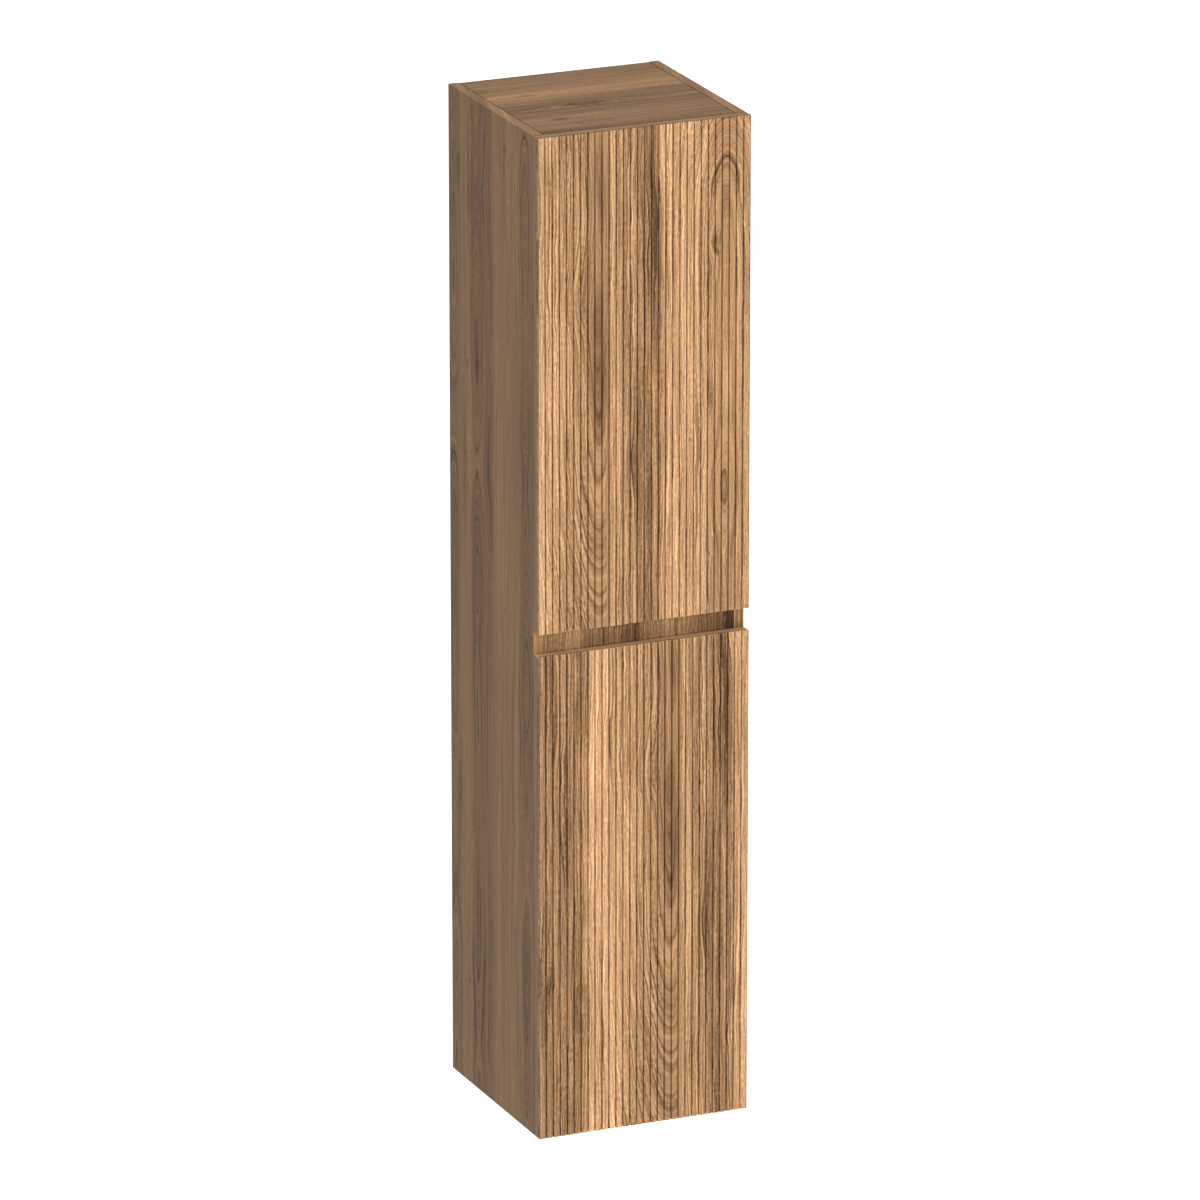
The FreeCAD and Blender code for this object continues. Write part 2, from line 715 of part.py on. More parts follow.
def hinge_cup(door, end):
    """Pressed cup with a flange, sunk in the door's back."""
    z = HINGE_Z[door, end]
    flange_y = f"({DOOR_BACK} + flange_thickness)"
    screw_x = f"({CUP_X} - cup_screw_offset)"
    low, high = cup_screw_heights(z)
    pot = new_body("front", y=flange_y)
    drum = pad(pot, draw_circles(pot, [(CUP_X, z)], "cup_radius - cup_clearance"),
               "flange_thickness + cup_depth - cup_floor_clearance")
    pot.Tip = rounded(pot, drum, FreeCAD.Vector(0, 0, 1), "cup_bend")
    ring = rod("-Y", CUP_X, flange_y, z, "flange_radius", "flange_thickness")
    ends = [
        rod("-Y", screw_x, flange_y, screw_z, "flange_end_radius", "flange_thickness")
        for screw_z in (low, high)
    ]
    bar = box(f"{screw_x} - flange_end_radius", DOOR_BACK, low, "2 * flange_end_radius",
              "flange_thickness", "cup_screw_spacing")
    hollow = rod("-Y", CUP_X, f"{flange_y} + overrun", z, "cup_radius - cup_clearance - cup_wall",
                 "overrun + flange_thickness + cup_depth - cup_floor_clearance - cup_floor")
    pivot = rod("+Z", *DOOR_PIVOT, f"{z} - cup_pivot_length / 2 - pivot_fit", "pivot_radius + pivot_fit",
                "cup_pivot_length + 2 * pivot_fit")
    holes = [
        rod("-Y", screw_x, f"{flange_y} + overrun", screw_z, "cup_screw_radius + screw_clearance",
            "flange_thickness + 2 * overrun")
        for screw_z in (low, high)
    ]
    node(cut(fused(pot, ring, bar, *ends), hollow, pivot, *holes), f"{door}_door_{end}_hinge_cup")


def cup_screws(door):
    """Screws that hold a door's hinge cups."""
    seat = f"({DOOR_BACK} + flange_thickness)"
    screws = []
    for end in ENDS:
        for z in cup_screw_heights(HINGE_Z[door, end]):
            x = f"({CUP_X} - cup_screw_offset)"
            shank = rod("-Y", x, seat, z, "cup_screw_radius", "cup_screw_length")
            head = rod("+Y", x, seat, z, "cup_screw_head", "cup_screw_head_rise")
            screws.append(fused(shank, head))
    group(screws, f"{door}_door_cup_screws")


def pivot_pins(label, place_xy, length, heights):
    """Plain pins on one upright axis."""
    pins = [rod("+Z", *place_xy, f"({z} - {length} / 2)", "pivot_radius", length) for z in heights]
    group(pins, label)


def hinge_link(door, end):
    """Goose-neck link: a bar across the cup, bent back to the arm's pivot."""
    body = new_body("level", z=f"({HINGE_Z[door, end]} - link_width / 2)")
    node(body, f"{door}_door_{end}_hinge_link")
    top = "door_gap + link_top_depth"
    bend = "pivot_edge - panel_thickness + link_bend"
    pivot_x = DOOR_PIVOT[0]
    outline = [
        (pivot_x, hinge_y(top)),
        (hinge_x(f"{bend} + link_half_bar"), hinge_y(top)),
        (hinge_x("arm_pivot_in + link_half_bar"), ARM_PIVOT[1]),
        (hinge_x("arm_pivot_in - link_half_bar"), ARM_PIVOT[1]),
        (hinge_x(f"{bend} - link_half_bar"), hinge_y(f"{top} - link_bar")),
        (pivot_x, hinge_y(f"{top} - link_bar")),
    ]
    pad(body, draw_polygon(body, outline), "link_width")
    pad(body, draw_circles(body, (ARM_PIVOT, DOOR_PIVOT), "lug_radius"), "link_width")
    body.Tip = pocket(body, draw_circles(body, (ARM_PIVOT, DOOR_PIVOT), "pivot_radius + pivot_running"))


CHANNEL_HALF = "(link_width / 2 + arm_side_gap)"
ARM_HALF = f"({CHANNEL_HALF} + arm_cheek)"
WEB_UNDER = "(arm_pivot_in + lug_radius + arm_web_gap)"
ARM_SCREW_Y = [hinge_y(f"-plate_setback {sign} arm_screw_spacing / 2") for sign in "-+"]


def hinge_arm(door, end):
    """Channel-shaped arm with a rounded nose that holds the link's pin."""
    z = HINGE_Z[door, end]
    body = new_body("level", z=f"{z} - {ARM_HALF}")
    nose = "arm_nose - arm_pivot_back"
    outline = [
        (hinge_x("arm_foot"), hinge_y("-arm_length")),
        (hinge_x("arm_foot"), hinge_y("-arm_neck_length - arm_nose")),
        (hinge_x("arm_neck_foot"), hinge_y("-arm_neck_length")),
        (hinge_x("arm_pivot_in - arm_nose"), ARM_PIVOT[1]),
        (hinge_x("arm_pivot_in - arm_nose / 2"), hinge_y(nose)),
        (hinge_x("arm_pivot_in + arm_nose / 2"), hinge_y(nose)),
        (hinge_x(f"{WEB_UNDER} + arm_web"), ARM_PIVOT[1]),
        (hinge_x(f"{WEB_UNDER} + arm_web"), hinge_y("-arm_length")),
    ]
    pad(body, draw_polygon(body, outline), f"2 * {ARM_HALF}")
    body.Tip = pocket(body, draw_circles(body, (ARM_PIVOT,), "pivot_radius + pivot_fit"))
    channel = box(hinge_x(WEB_UNDER), hinge_y("overrun"), f"{z} - {CHANNEL_HALF}", WEB_UNDER,
                  "arm_length + 2 * overrun", f"2 * {CHANNEL_HALF}")
    holes = [
        rod("-X", hinge_x(f"{WEB_UNDER} - overrun"), y, z, "arm_screw_radius + screw_clearance",
            "arm_web + 2 * overrun")
        for y in ARM_SCREW_Y
    ]
    node(cut(body, channel, *holes), f"{door}_door_{end}_hinge_arm")


def hinge_plate(door, end):
    """Winged mounting plate with the rail that the arm clips over."""
    z = HINGE_Z[door, end]
    y = hinge_y("-plate_setback")
    low, high = plate_screw_heights((z,))
    wing = box(hinge_x("plate_thickness"), f"{y} - plate_end_radius", low, "plate_thickness",
               "2 * plate_end_radius", "plate_screw_spacing")
    ends = [
        rod("-X", INNER, y, screw_z, "plate_end_radius", "plate_thickness") for screw_z in (low, high)
    ]
    rail_half = f"({CHANNEL_HALF} - plate_rail_gap)"
    rail = box(hinge_x("plate_rail_height"), f"{y} - plate_rail_length / 2", f"{z} - {rail_half}",
               "plate_rail_height", "plate_rail_length", f"2 * {rail_half}")
    screw_holes = [
        rod("-X", hinge_x("-overrun"), y, screw_z, "plate_screw_radius + screw_clearance",
            "plate_thickness + 2 * overrun")
        for screw_z in (low, high)
    ]
    depth = f"(arm_screw_length - arm_web - {WEB_UNDER} + plate_rail_height + dowel_relief + overrun)"
    arm_holes = [
        rod("+X", hinge_x("plate_rail_height + overrun"), screw_y, z, "arm_screw_radius + screw_clearance",
            depth)
        for screw_y in ARM_SCREW_Y
    ]
    node(cut(fused(wing, rail, *ends), *screw_holes, *arm_holes), f"{door}_door_{end}_hinge_plate")


def hinge_plate_screws():
    """Screws that hold the mounting plates to the right side."""
    y = hinge_y("-plate_setback")
    seat = hinge_x("plate_thickness")
    screws = []
    for z in plate_screw_heights():
        shank = rod("+X", seat, y, z, "plate_screw_radius", "plate_screw_length")
        head = rod("-X", seat, y, z, "plate_screw_head", "plate_screw_head_rise")
        screws.append(fused(shank, head))
    group(screws, "hinge_plate_screws")


def hinge_arm_screws():
    """Fixing and adjusting screws through the arms into their rails."""
    seat = hinge_x(f"{WEB_UNDER} + arm_web")
    screws = []
    for z in HINGE_Z.values():
        for y in ARM_SCREW_Y:
            shank = rod("+X", seat, y, z, "arm_screw_radius", "arm_screw_length")
            head = rod("-X", seat, y, z, "arm_screw_head", "arm_screw_head_rise")
            screws.append(fused(shank, head))
    group(screws, "hinge_arm_screws")


def build_carcass():
    """Boards, shelves, dowels and wall hangers."""
    for side in SIDES:
        side_panel(side)
        hanger_housing(side)
        hanger_hook(side)
        wall_plate(side)
    for label in CROSS_PANELS:
        cross_panel(label)
    grip_board()
    back_panel()
    carcass_dowels()
    hanger_adjusting_screws()
    for compartment in DOORS:
        for number in range(1, SHELF_COUNT + 1):
            loose_shelf(compartment, number)
        shelf_pins(compartment)


def build_doors():
    """Doors and their hinges."""
    for door in DOORS:
        door_board(door)
        door_face(door)
        door_bumpers(door)
        cup_screws(door)
        heights = [HINGE_Z[door, end] for end in ENDS]
        pivot_pins(f"{door}_door_pivot_pins", DOOR_PIVOT, "cup_pivot_length", heights)
        for end in ENDS:
            hinge_cup(door, end)
            hinge_link(door, end)
            hinge_arm(door, end)
            hinge_plate(door, end)
    pivot_pins("hinge_arm_pivot_pins", ARM_PIVOT, f"(2 * {ARM_HALF})", HINGE_Z.values())
    hinge_plate_screws()
    hinge_arm_screws()


def write_parts():
    """Checks every object, then writes one file for each sub-part."""
    for item in doc.Objects:
        if "Invalid" in item.State or "Error" in item.State:
            raise RuntimeError(f"{item.Label} failed: {item.State}")
    for item in nodes:
        if item.Shape.isNull() or not item.Shape.isValid():
            raise RuntimeError(f"{item.Label} has no valid shape")
    os.makedirs("parts", exist_ok=True)
    for item in nodes:
        item.Shape.exportStep(f"parts/{item.Label}.step")
        print(item.Label, len(item.Shape.Solids), round(item.Shape.Volume, 1))


build_carcass()
build_doors()
doc.recompute()
write_parts()
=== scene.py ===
"""Finishes, light and camera for a wall-hung column cabinet with two ribbed doors."""
import math
from typing import NamedTuple

import bmesh
import bpy
from mathutils import Color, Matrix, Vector


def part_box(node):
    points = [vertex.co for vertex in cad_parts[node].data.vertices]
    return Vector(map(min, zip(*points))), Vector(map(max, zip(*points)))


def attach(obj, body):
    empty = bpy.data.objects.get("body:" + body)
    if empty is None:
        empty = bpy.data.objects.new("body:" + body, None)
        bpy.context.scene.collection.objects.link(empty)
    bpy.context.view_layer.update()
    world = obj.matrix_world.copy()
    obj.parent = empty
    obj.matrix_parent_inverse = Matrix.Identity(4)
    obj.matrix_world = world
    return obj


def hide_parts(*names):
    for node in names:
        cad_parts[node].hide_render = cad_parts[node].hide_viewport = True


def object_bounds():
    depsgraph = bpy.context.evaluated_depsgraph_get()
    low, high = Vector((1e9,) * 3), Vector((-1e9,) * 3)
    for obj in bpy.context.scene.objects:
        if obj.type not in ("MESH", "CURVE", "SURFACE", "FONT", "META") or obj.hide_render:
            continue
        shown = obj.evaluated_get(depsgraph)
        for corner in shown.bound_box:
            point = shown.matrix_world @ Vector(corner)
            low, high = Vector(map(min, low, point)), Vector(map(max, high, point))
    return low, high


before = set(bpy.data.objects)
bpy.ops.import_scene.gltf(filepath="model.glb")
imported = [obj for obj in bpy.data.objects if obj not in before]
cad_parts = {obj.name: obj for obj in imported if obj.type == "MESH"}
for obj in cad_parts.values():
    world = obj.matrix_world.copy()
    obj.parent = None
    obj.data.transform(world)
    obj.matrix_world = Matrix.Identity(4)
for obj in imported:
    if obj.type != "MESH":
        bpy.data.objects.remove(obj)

bl_info = {
    "name": "Ribbed Door Cabinet",
    "version": (1, 0, 0),
    "blender": (4, 5, 0),
    "location": "3D View > Sidebar > Cabinet",
    "description": "Finishes a wall-hung column cabinet with ribbed doors and sets its studio",
    "category": "Object",
}

DOORS = ("lower", "upper")
ENDS = ("low", "high")
SIDES = ("left", "right")
SHELVES = ("fixed_shelf", "shelf_1", "shelf_2")
HINGE_PIECES = ("cup", "link", "arm", "plate")
CAD_BOX = [list(corner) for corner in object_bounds()]

# Directions in the cabinet's frame
RIGHT = (1.0, 0.0, 0.0)
LEFT = (-1.0, 0.0, 0.0)
BACK = (0.0, 1.0, 0.0)
FRONT = (0.0, -1.0, 0.0)
UP = (0.0, 0.0, 1.0)
FRONT_AND_UP = (0.0, -1.0, 1.0)


class Knot(NamedTuple):
    """A place that the grain flows round, in metres on the figured sheet.

    pull draws the grain in, rings pushes it aside and dark is how much darker it turns.
    """
    across: float
    along: float
    half_width: float
    half_height: float
    pull: float
    rings: float
    dark: float


class Heart(NamedTuple):
    """A column of nested arches, where the sheet was sawn near the middle of the trunk.

    left, middle and right lie across the sheet, and the arches start at foot, along it. bend and
    reach stretch them, least_depth keeps them open, steep_side narrows their right flank and wander
    lets them stray. calm is the share of the fine grain that is missing at the middle.
    """
    left: float
    middle: float
    right: float
    foot: float
    bend: float
    least_depth: float
    steep_side: float
    wander: float
    upright: bool = False
    reach: float = 1.0
    calm: float = 0.0


class Layer(NamedTuple):
    """A layer of noise: its waves in a metre, its place in the noise, its form and its weight.

    sharp holds the two heights that it is stepped between, and middle is taken off it.
    """
    across: float
    along: float
    seed: float
    detail: float = 2.0
    roughness: float = 0.5
    sharp: tuple = ()
    middle: float = 0.5
    weight: float = 1.0


class Band(NamedTuple):
    """A darker or paler band: where it starts and is full, in metres in from an edge."""
    start: float
    full: float
    dark: float


class Shade(NamedTuple):
    """A band in its place: the way to its edge, where that lies, and if the far end has it too."""
    direction: tuple
    edge: float
    band: Band
    both_ends: bool = False


class Board(NamedTuple):
    """How the figured sheet lies on a board: its directions, its origin and what it shows.

    streaks and veins are the strengths of the fine grain and of the dark lines in it.
    """
    across: tuple
    along: tuple
    origin: tuple
    seed: float
    planks: tuple
    knots: tuple = ()
    hearts: tuple = ()
    streaks: float = 1.0
    veins: float = 1.0
    contrast: float = 1.0


class Screw(NamedTuple):
    """A kind of screw: its CAD node, the body it rides on and where its heads face.

    rise is the head's height, core the shank's radius and pitch the thread's, in metres.
    """
    node: str
    body: str
    facing: tuple
    rise: float
    core: float
    pitch: float


# Plank tones run from 0, dark, to 1, pale, at places across the sheet in metres
DOOR_PLANKS = (
    (-0.310, 0.42), (-0.225, 0.40), (-0.205, 0.70), (-0.160, 0.63), (-0.122, 0.48),
    (-0.085, 0.44), (-0.066, 0.45), (-0.052, 0.58), (-0.015, 0.48), (0.004, 0.38), (0.024, 0.41),
    (0.038, 0.68), (0.098, 0.64), (0.114, 0.48), (0.150, 0.49), (0.175, 0.57),
)
DOOR_KNOTS = (
    Knot(0.132, 0.665, 0.022, 0.050, 0.20, 0.000, 0.10),
    Knot(0.114, 0.592, 0.008, 0.026, 0.60, 0.010, 0.20),
    Knot(0.136, 0.200, 0.022, 0.062, 0.70, 0.024, 0.06),
    Knot(-0.018, 0.255, 0.009, 0.055, 0.60, 0.005, 0.20),
    Knot(-0.104, 0.520, 0.016, 0.050, 0.60, 0.009, 0.00),
    Knot(-0.073, 0.495, 0.013, 0.042, 0.30, 0.016, 0.06),
    Knot(-0.072, 0.700, 0.010, 0.075, 0.50, 0.000, 0.20),
    Knot(-0.071, 0.400, 0.011, 0.075, 0.60, 0.000, 0.16),
    Knot(0.012, 0.640, 0.010, 0.120, 0.30, 0.000, 0.20),
    Knot(-0.010, 0.350, 0.007, 0.080, 0.30, 0.000, 0.20),
    Knot(0.107, 0.345, 0.004, 0.040, 0.80, 0.004, 0.16),
    Knot(-0.278, 0.180, 0.010, 0.040, 0.45, 0.004, 0.14),
    Knot(-0.228, 0.150, 0.010, 0.045, 0.70, 0.006, 0.14),
    Knot(-0.250, 0.430, 0.009, 0.070, 0.70, 0.000, 0.18),
)
DOOR_HEARTS = (
    Heart(-0.210, -0.073, -0.058, 0.62, 0.20, 0.005, 1.6, 0.026, calm=0.55),
    Heart(0.030, 0.136, 0.230, 0.57, 1.30, 0.002, 1.0, 0.002, upright=True, reach=0.30, calm=0.4),
)
# Both doors are cut from one figure; the lower one lies further across it and further up
DOOR_SHIFTS = {"lower": (0.120, 0.058), "upper": (0.0, 0.0)}

SIDE_PLANKS = (
    (0.000, 0.44), (0.035, 0.46), (0.048, 0.62), (0.080, 0.60), (0.094, 0.40), (0.160, 0.44),
    (0.182, 0.62), (0.268, 0.60), (0.290, 0.40), (0.318, 0.44), (0.334, 0.56),
)
SIDE_KNOTS = (
    Knot(0.038, 0.480, 0.005, 0.030, 0.70, 0.006, 0.24),
    Knot(0.038, 1.480, 0.005, 0.030, 0.70, 0.006, 0.24),
    Knot(0.072, 1.175, 0.006, 0.006, 0.60, 0.000, 0.22),
    Knot(0.072, 0.170, 0.006, 0.006, 0.60, 0.000, 0.22),
    Knot(0.220, 1.550, 0.005, 0.005, 0.60, 0.000, 0.22),
    Knot(0.220, 0.820, 0.005, 0.005, 0.60, 0.000, 0.22),
)
SIDE_HEARTS = (
    Heart(-0.020, 0.016, 0.050, 0.0, 0.0, 0.014, 1.0, 0.100),
    Heart(0.070, 0.108, 0.176, 0.0, 0.0, 0.014, 0.8, 0.100),
    Heart(0.260, 0.300, 0.340, 0.0, 0.0, 0.018, 1.0, 0.120),
)
# The two darkest planks at the front edge are partly a darker plank and partly painted shade of the
# gap behind the doors
TOP_PLANKS = (
    (0.000, 0.46), (0.070, 0.50), (0.105, 0.70), (0.130, 0.66), (0.155, 0.42), (0.220, 0.40),
    (0.250, 0.52), (0.300, 0.48), (0.316, 0.36), (0.335, 0.34),
)
TOP_KNOTS = (
    Knot(0.182, -0.030, 0.014, 0.075, 0.80, 0.024, 0.08),
    Knot(0.114, -0.094, 0.005, 0.014, 0.80, 0.006, 0.30),
    Knot(0.256, -0.100, 0.005, 0.016, 0.80, 0.006, 0.22),
)
PLAIN_PLANKS = (
    (-0.180, 0.54), (-0.110, 0.48), (-0.090, 0.60), (-0.020, 0.56), (0.000, 0.52), (0.060, 0.48),
    (0.082, 0.62), (0.150, 0.56), (0.172, 0.46), (0.235, 0.48), (0.262, 0.60), (0.340, 0.52),
)
# The fall to 0.20 at the right end is painted shade at that end of the finger gap
GRIP_PLANKS = (
    (-0.160, 0.52), (-0.084, 0.63), (-0.074, 0.40), (-0.018, 0.42), (-0.006, 0.28),
    (0.010, 0.26), (0.022, 0.50), (0.060, 0.57), (0.100, 0.52), (0.112, 0.42), (0.160, 0.20),
)

# Each board's place in the noise; only the two doors share theirs
SEEDS = {
    "door_face": 11.0, "door_board": 23.0, "side_panel_left": 31.0, "side_panel_right": 37.0,
    "top_panel": 41.0, "bottom_panel": 43.0, "grip_board": 71.0, "back_panel": 77.0,
    "lower_fixed_shelf": 51.0, "lower_shelf_1": 54.0, "lower_shelf_2": 57.0,
    "upper_fixed_shelf": 60.0, "upper_shelf_1": 63.0, "upper_shelf_2": 66.0,
}
# How much faster the figure runs through a board's thickness than over its face
DOOR_BOARD_WRAP = 6.0
SIDE_WRAP = 4.0

# The grain, from the sway of whole planks to single flecks
SWAY = Layer(18.0, 5.0, 0.0, weight=0.018)
RIPPLE = Layer(36.0, 17.0, 1.0, detail=3.0, weight=0.0085)
BROAD = Layer(90.0, 1.5, 2.0, detail=1.0, weight=0.5)
STREAK = Layer(420.0, 2.4, 3.0, sharp=(0.34, 0.66), weight=0.24)
FINE = Layer(820.0, 12.0, 4.0, detail=4.0, roughness=0.65, sharp=(0.32, 0.68), weight=0.32)
VEIN = Layer(480.0, 2.4, 5.0, detail=1.0, sharp=(0.58, 0.65), middle=0.0, weight=-0.20)
FLECK = Layer(620.0, 130.0, 6.0, middle=0.52, weight=0.65)
WANDER = Layer(2.6, 40.0, 7.0, detail=1.0)
# Arches are round at 2 and pointed at 1
ARCH_POINT = 2.0
# Arches end over this width, and fine grain comes back at these places beside a calm heart
ARCH_FADE = 0.006
CALM_REACH = (0.006, 0.030)
# Places of the four tones, from vein to pale, and the tone that contrast turns about
TONE_PLACES = (0.0, 0.32, 0.64, 1.0)
MIDDLE_TONE = 0.5

# The painted shade in the grooves goes by their floor; the painted shade of the gaps and of the
# door arrises, and the edgings, go by the edge that they run along
GROOVE_DEPTH = 0.003
# Painted shade in the grooves: the ribbed face turns darker from 1.0 to 2.6 mm behind its front, on
# its edges as well as in the grooves
GROOVE_PAINTED_SHADE = Band(0.0020, 0.0004, 0.24)
# Painted shade: a darker line on the door faces within 1.4 mm of their side arrises, where the lit
# front turns to the shaded side
FACE_ARRIS_PAINTED_SHADE = Band(0.0014, 0.0010, 0.20)
FACE_EDGE_BAND = Band(0.0003, 0.0001, -0.21)
BOARD_EDGE_BAND = Band(0.0009, 0.0005, -0.06)
# Painted shade of the gap between the doors and the sides: darker within 3.4 mm of the side panels'
# front
SIDE_GAP_PAINTED_SHADE = Band(0.0034, 0.0024, 0.20)
# The side panels' front edge in the doors' stain, paler by half of the painted gap shade that lies
# over it
SIDE_FRONT_BAND = Band(0.0002, 0.0001, -0.10)
SIDE_TOP_BAND = Band(0.0009, 0.0005, -0.05)
# Painted shade of the gaps where the top and the bottom meet the sides, within 2.4 mm of their ends
END_GAP_PAINTED_SHADE = Band(0.0024, 0.0014, 0.60)
# The top of each door, with the wood whose stain it has: the upper door's is an edging, and the
# lower door's is painted light, paler against the shade under the upper door
DOOR_TOPS = {
    "lower": ("doors", Band(0.0003, 0.0001, -0.42)),
    "upper": ("carcass", Band(0.0003, 0.0001, -0.10)),
}

# Plated steel is clouded and has drawing lines, mouldings are sparked, and beech is flecked
PLATE_ACROSS = (1.0, 0.6, 0.0)
PLATE_CLOUD = Layer(160.0, 120.0, 3.0, detail=3.0)
LINES_ACROSS = (0.9, 0.54, 1.7)
PLATE_LINES = Layer(1000.0, 60.0, 5.0)
MOULD_ACROSS = (1.0, 0.7, 0.0)
MOULD_UP = (0.0, 0.4, 1.0)
MOULD_SPARK = Layer(2600.0, 2600.0, 2.0)
MOULD_CLOUD = Layer(80.0, 80.0, 4.0)
BEECH_ACROSS = (0.0, 1.0, 0.6)
BEECH_FLECK = Layer(2400.0, 240.0, 81.0, middle=0.0)
# How much of a surface is clouded, how strong the clouds are and how dark
CLOUD_SHARE = 0.4
PLATE_CLOUDING = 0.9
PLATE_DARK = 0.72
MOULD_DARK = 0.8
# How much each layer changes the roughness
GRAIN_DULLING = 0.12
CLOUD_DULLING = 0.25
LINES_DULLING = 0.2
SPARK_DULLING = 0.2
FLECK_DULLING = 0.2
BEECH_ROUGHNESS = 0.5
# Strength and height in metres of the finest relief
GRAIN_BUMP = (0.1, 0.0004)
LINES_BUMP = (0.12, 0.0002)
SPARK_BUMP = (0.15, 0.0002)
FLECK_BUMP = (0.2, 0.0002)

SCREWS = (
    Screw("hinge_plate_screws", "carcass", LEFT, 0.0012, 0.0030, 0.0018),
    Screw("hinge_arm_screws", "carcass", LEFT, 0.0012, 0.0020, 0.0010),
    Screw("lower_door_cup_screws", "lower_door", BACK, 0.0004, 0.00175, 0.0014),
    Screw("upper_door_cup_screws", "upper_door", BACK, 0.0004, 0.00175, 0.0014),
    Screw("hanger_adjusting_screws", "carcass", FRONT, 0.0015, 0.0025, 0.0012),
)
# A cross recess by the head's radius: half an arm's width, the arm's reach and the depth
RECESS_SHARES = ((0.07, 0.18, 0.45), (0.11, 0.50, 0.10))
MOUTH_SHARES = (0.13, 0.56)
# The crown and the rim by the head's height; the mouth and the dome by the head and the crown
CROWN_SHARE = 0.4
RIM_SHARE = 0.5
MOUTH_DEPTH_SHARE = 0.30
DOME_SHARES = ((0.70, 0.45), (0.90, 0.75))
# The thread's root and the point by the shank's radius
ROOT_SHARE = 0.78
POINT_SHARE = 0.35

EASED_SEGMENTS = 2
EASED_ANGLE = math.radians(60)
SMOOTH_ANGLE = math.radians(35)
SAME_POINT = 1e-6
SCREEN_WHITE = 255
FLOOR_ROUGHNESS = 0.9
FAR_CLIP = 1000.0


def colour(red, green, blue):
    """A screen colour, each part from 0 to 255, as linear light."""
    return tuple((Color((red, green, blue)) / SCREEN_WHITE).from_srgb_to_scene_linear())


def opaque(shade):
    """A colour with its full alpha."""
    return (*shade, 1.0)


class Socket:
    """A node's output that takes part in Python sums: each sum adds a Math node."""

    def __init__(self, graph, output):
        self.graph = graph
        self.output = output

    def __add__(self, other):
        return self.graph.maths("ADD", self, other)

    def __radd__(self, other):
        return self.graph.maths("ADD", other, self)

    def __sub__(self, other):
        return self.graph.maths("SUBTRACT", self, other)

    def __rsub__(self, other):
        return self.graph.maths("SUBTRACT", other, self)

    def __mul__(self, other):
        return self.graph.maths("MULTIPLY", self, other)

    def __rmul__(self, other):
        return self.graph.maths("MULTIPLY", other, self)

    def __truediv__(self, other):
        return self.graph.maths("DIVIDE", self, other)

    def __rtruediv__(self, other):
        return self.graph.maths("DIVIDE", other, self)

    def __pow__(self, other):
        return self.graph.maths("POWER", self, other)

    def __rpow__(self, other):
        return self.graph.maths("POWER", other, self)

    def __neg__(self):
        return self * -1.0

    def __abs__(self):
        return self.graph.maths("ABSOLUTE", self)


class Graph:
    """The node tree of one material."""

    def __init__(self, name):
        self.material = bpy.data.materials.new(name)
        self.material.use_nodes = True
        self.tree = self.material.node_tree
        self.tree.nodes.clear()

    def node(self, kind, settings, values, output=0):
        """Any node: its settings first, then its sockets; gives back an output if it has one."""
        node = self.tree.nodes.new(kind)
        for key, value in settings.items():
            if key == "stops":
                self.set_stops(node.color_ramp, value)
            else:
                setattr(node, key, value)
        for key, value in values.items():
            if isinstance(value, Socket):
                self.tree.links.new(value.output, node.inputs[key])
            else:
                node.inputs[key].default_value = value
        return Socket(self, node.outputs[output]) if node.outputs else None

    @staticmethod
    def set_stops(ramp, stops):
        """Gives a ramp its places and colours."""
        while len(ramp.elements) < len(stops):
            ramp.elements.new(1.0)
        for element, (place, shade) in zip(ramp.elements, stops):
            element.position = place
            element.color = opaque(shade)

    def maths(self, operation, *values):
        """A Math node on values, in their order."""
        return self.node("ShaderNodeMath", {"operation": operation}, dict(enumerate(values)))

    def measure(self, *directions):
        """A point's place in the cabinet's frame along each direction, in metres."""
        point = self.node("ShaderNodeTexCoord", {}, {}, "Object")
        settings = {"operation": "DOT_PRODUCT"}
        return [
            self.node("ShaderNodeVectorMath", settings, {0: point, 1: direction}, "Value")
            for direction in directions
        ]

    def layer(self, layer, across, along, seed=0.0, share=1.0):
        """A layer of noise over two places, about its middle."""
        places = {"X": across * layer.across, "Y": along * layer.along, "Z": seed + layer.seed}
        values = {
            "Vector": self.node("ShaderNodeCombineXYZ", {}, places),
            "Scale": 1.0,
            "Detail": layer.detail,
            "Roughness": layer.roughness,
        }
        height = self.node("ShaderNodeTexNoise", {"noise_dimensions": "3D"}, values, "Fac")
        if layer.sharp:
            height = self.step(height, *layer.sharp)
        return (height - layer.middle) * (layer.weight * share)

    def step(self, value, low, high):
        """A smooth step from 0 at low to 1 at high."""
        values = {"Value": value, "From Min": low, "From Max": high}
        return self.node("ShaderNodeMapRange", {"interpolation_type": "SMOOTHSTEP"}, values)

    def ramp(self, value, stops):
        """A colour that follows a value through given stops."""
        return self.node("ShaderNodeValToRGB", {"stops": stops}, {"Fac": value})

    def blend(self, factor, first, second):
        """Two colours mixed by a factor, in the Mix node's numbered colour sockets."""
        values = {0: factor, 6: first, 7: second}
        return self.node("ShaderNodeMix", {"data_type": "RGBA"}, values, 2)

    def bump(self, height, strength, distance):
        """A normal that is raised by a height."""
        values = {"Strength": strength, "Distance": distance, "Height": height}
        return self.node("ShaderNodeBump", {}, values)

    def finish(self, **values):
        """Adds the shader with its sockets filled and gives back the material."""
        sockets = {key.replace("_", " "): value for key, value in values.items()}
        shader = self.node("ShaderNodeBsdfPrincipled", {}, sockets)
        self.node("ShaderNodeOutputMaterial", {}, {"Surface": shader})
        return self.material


def plank_tone(graph, across, planks):
    """The tone of the planks that make up the figured sheet."""
    first, last = planks[0][0], planks[-1][0]
    stops = [((place - first) / (last - first), (tone,) * 3) for place, tone in planks]
    return graph.ramp((across - first) / (last - first), stops)


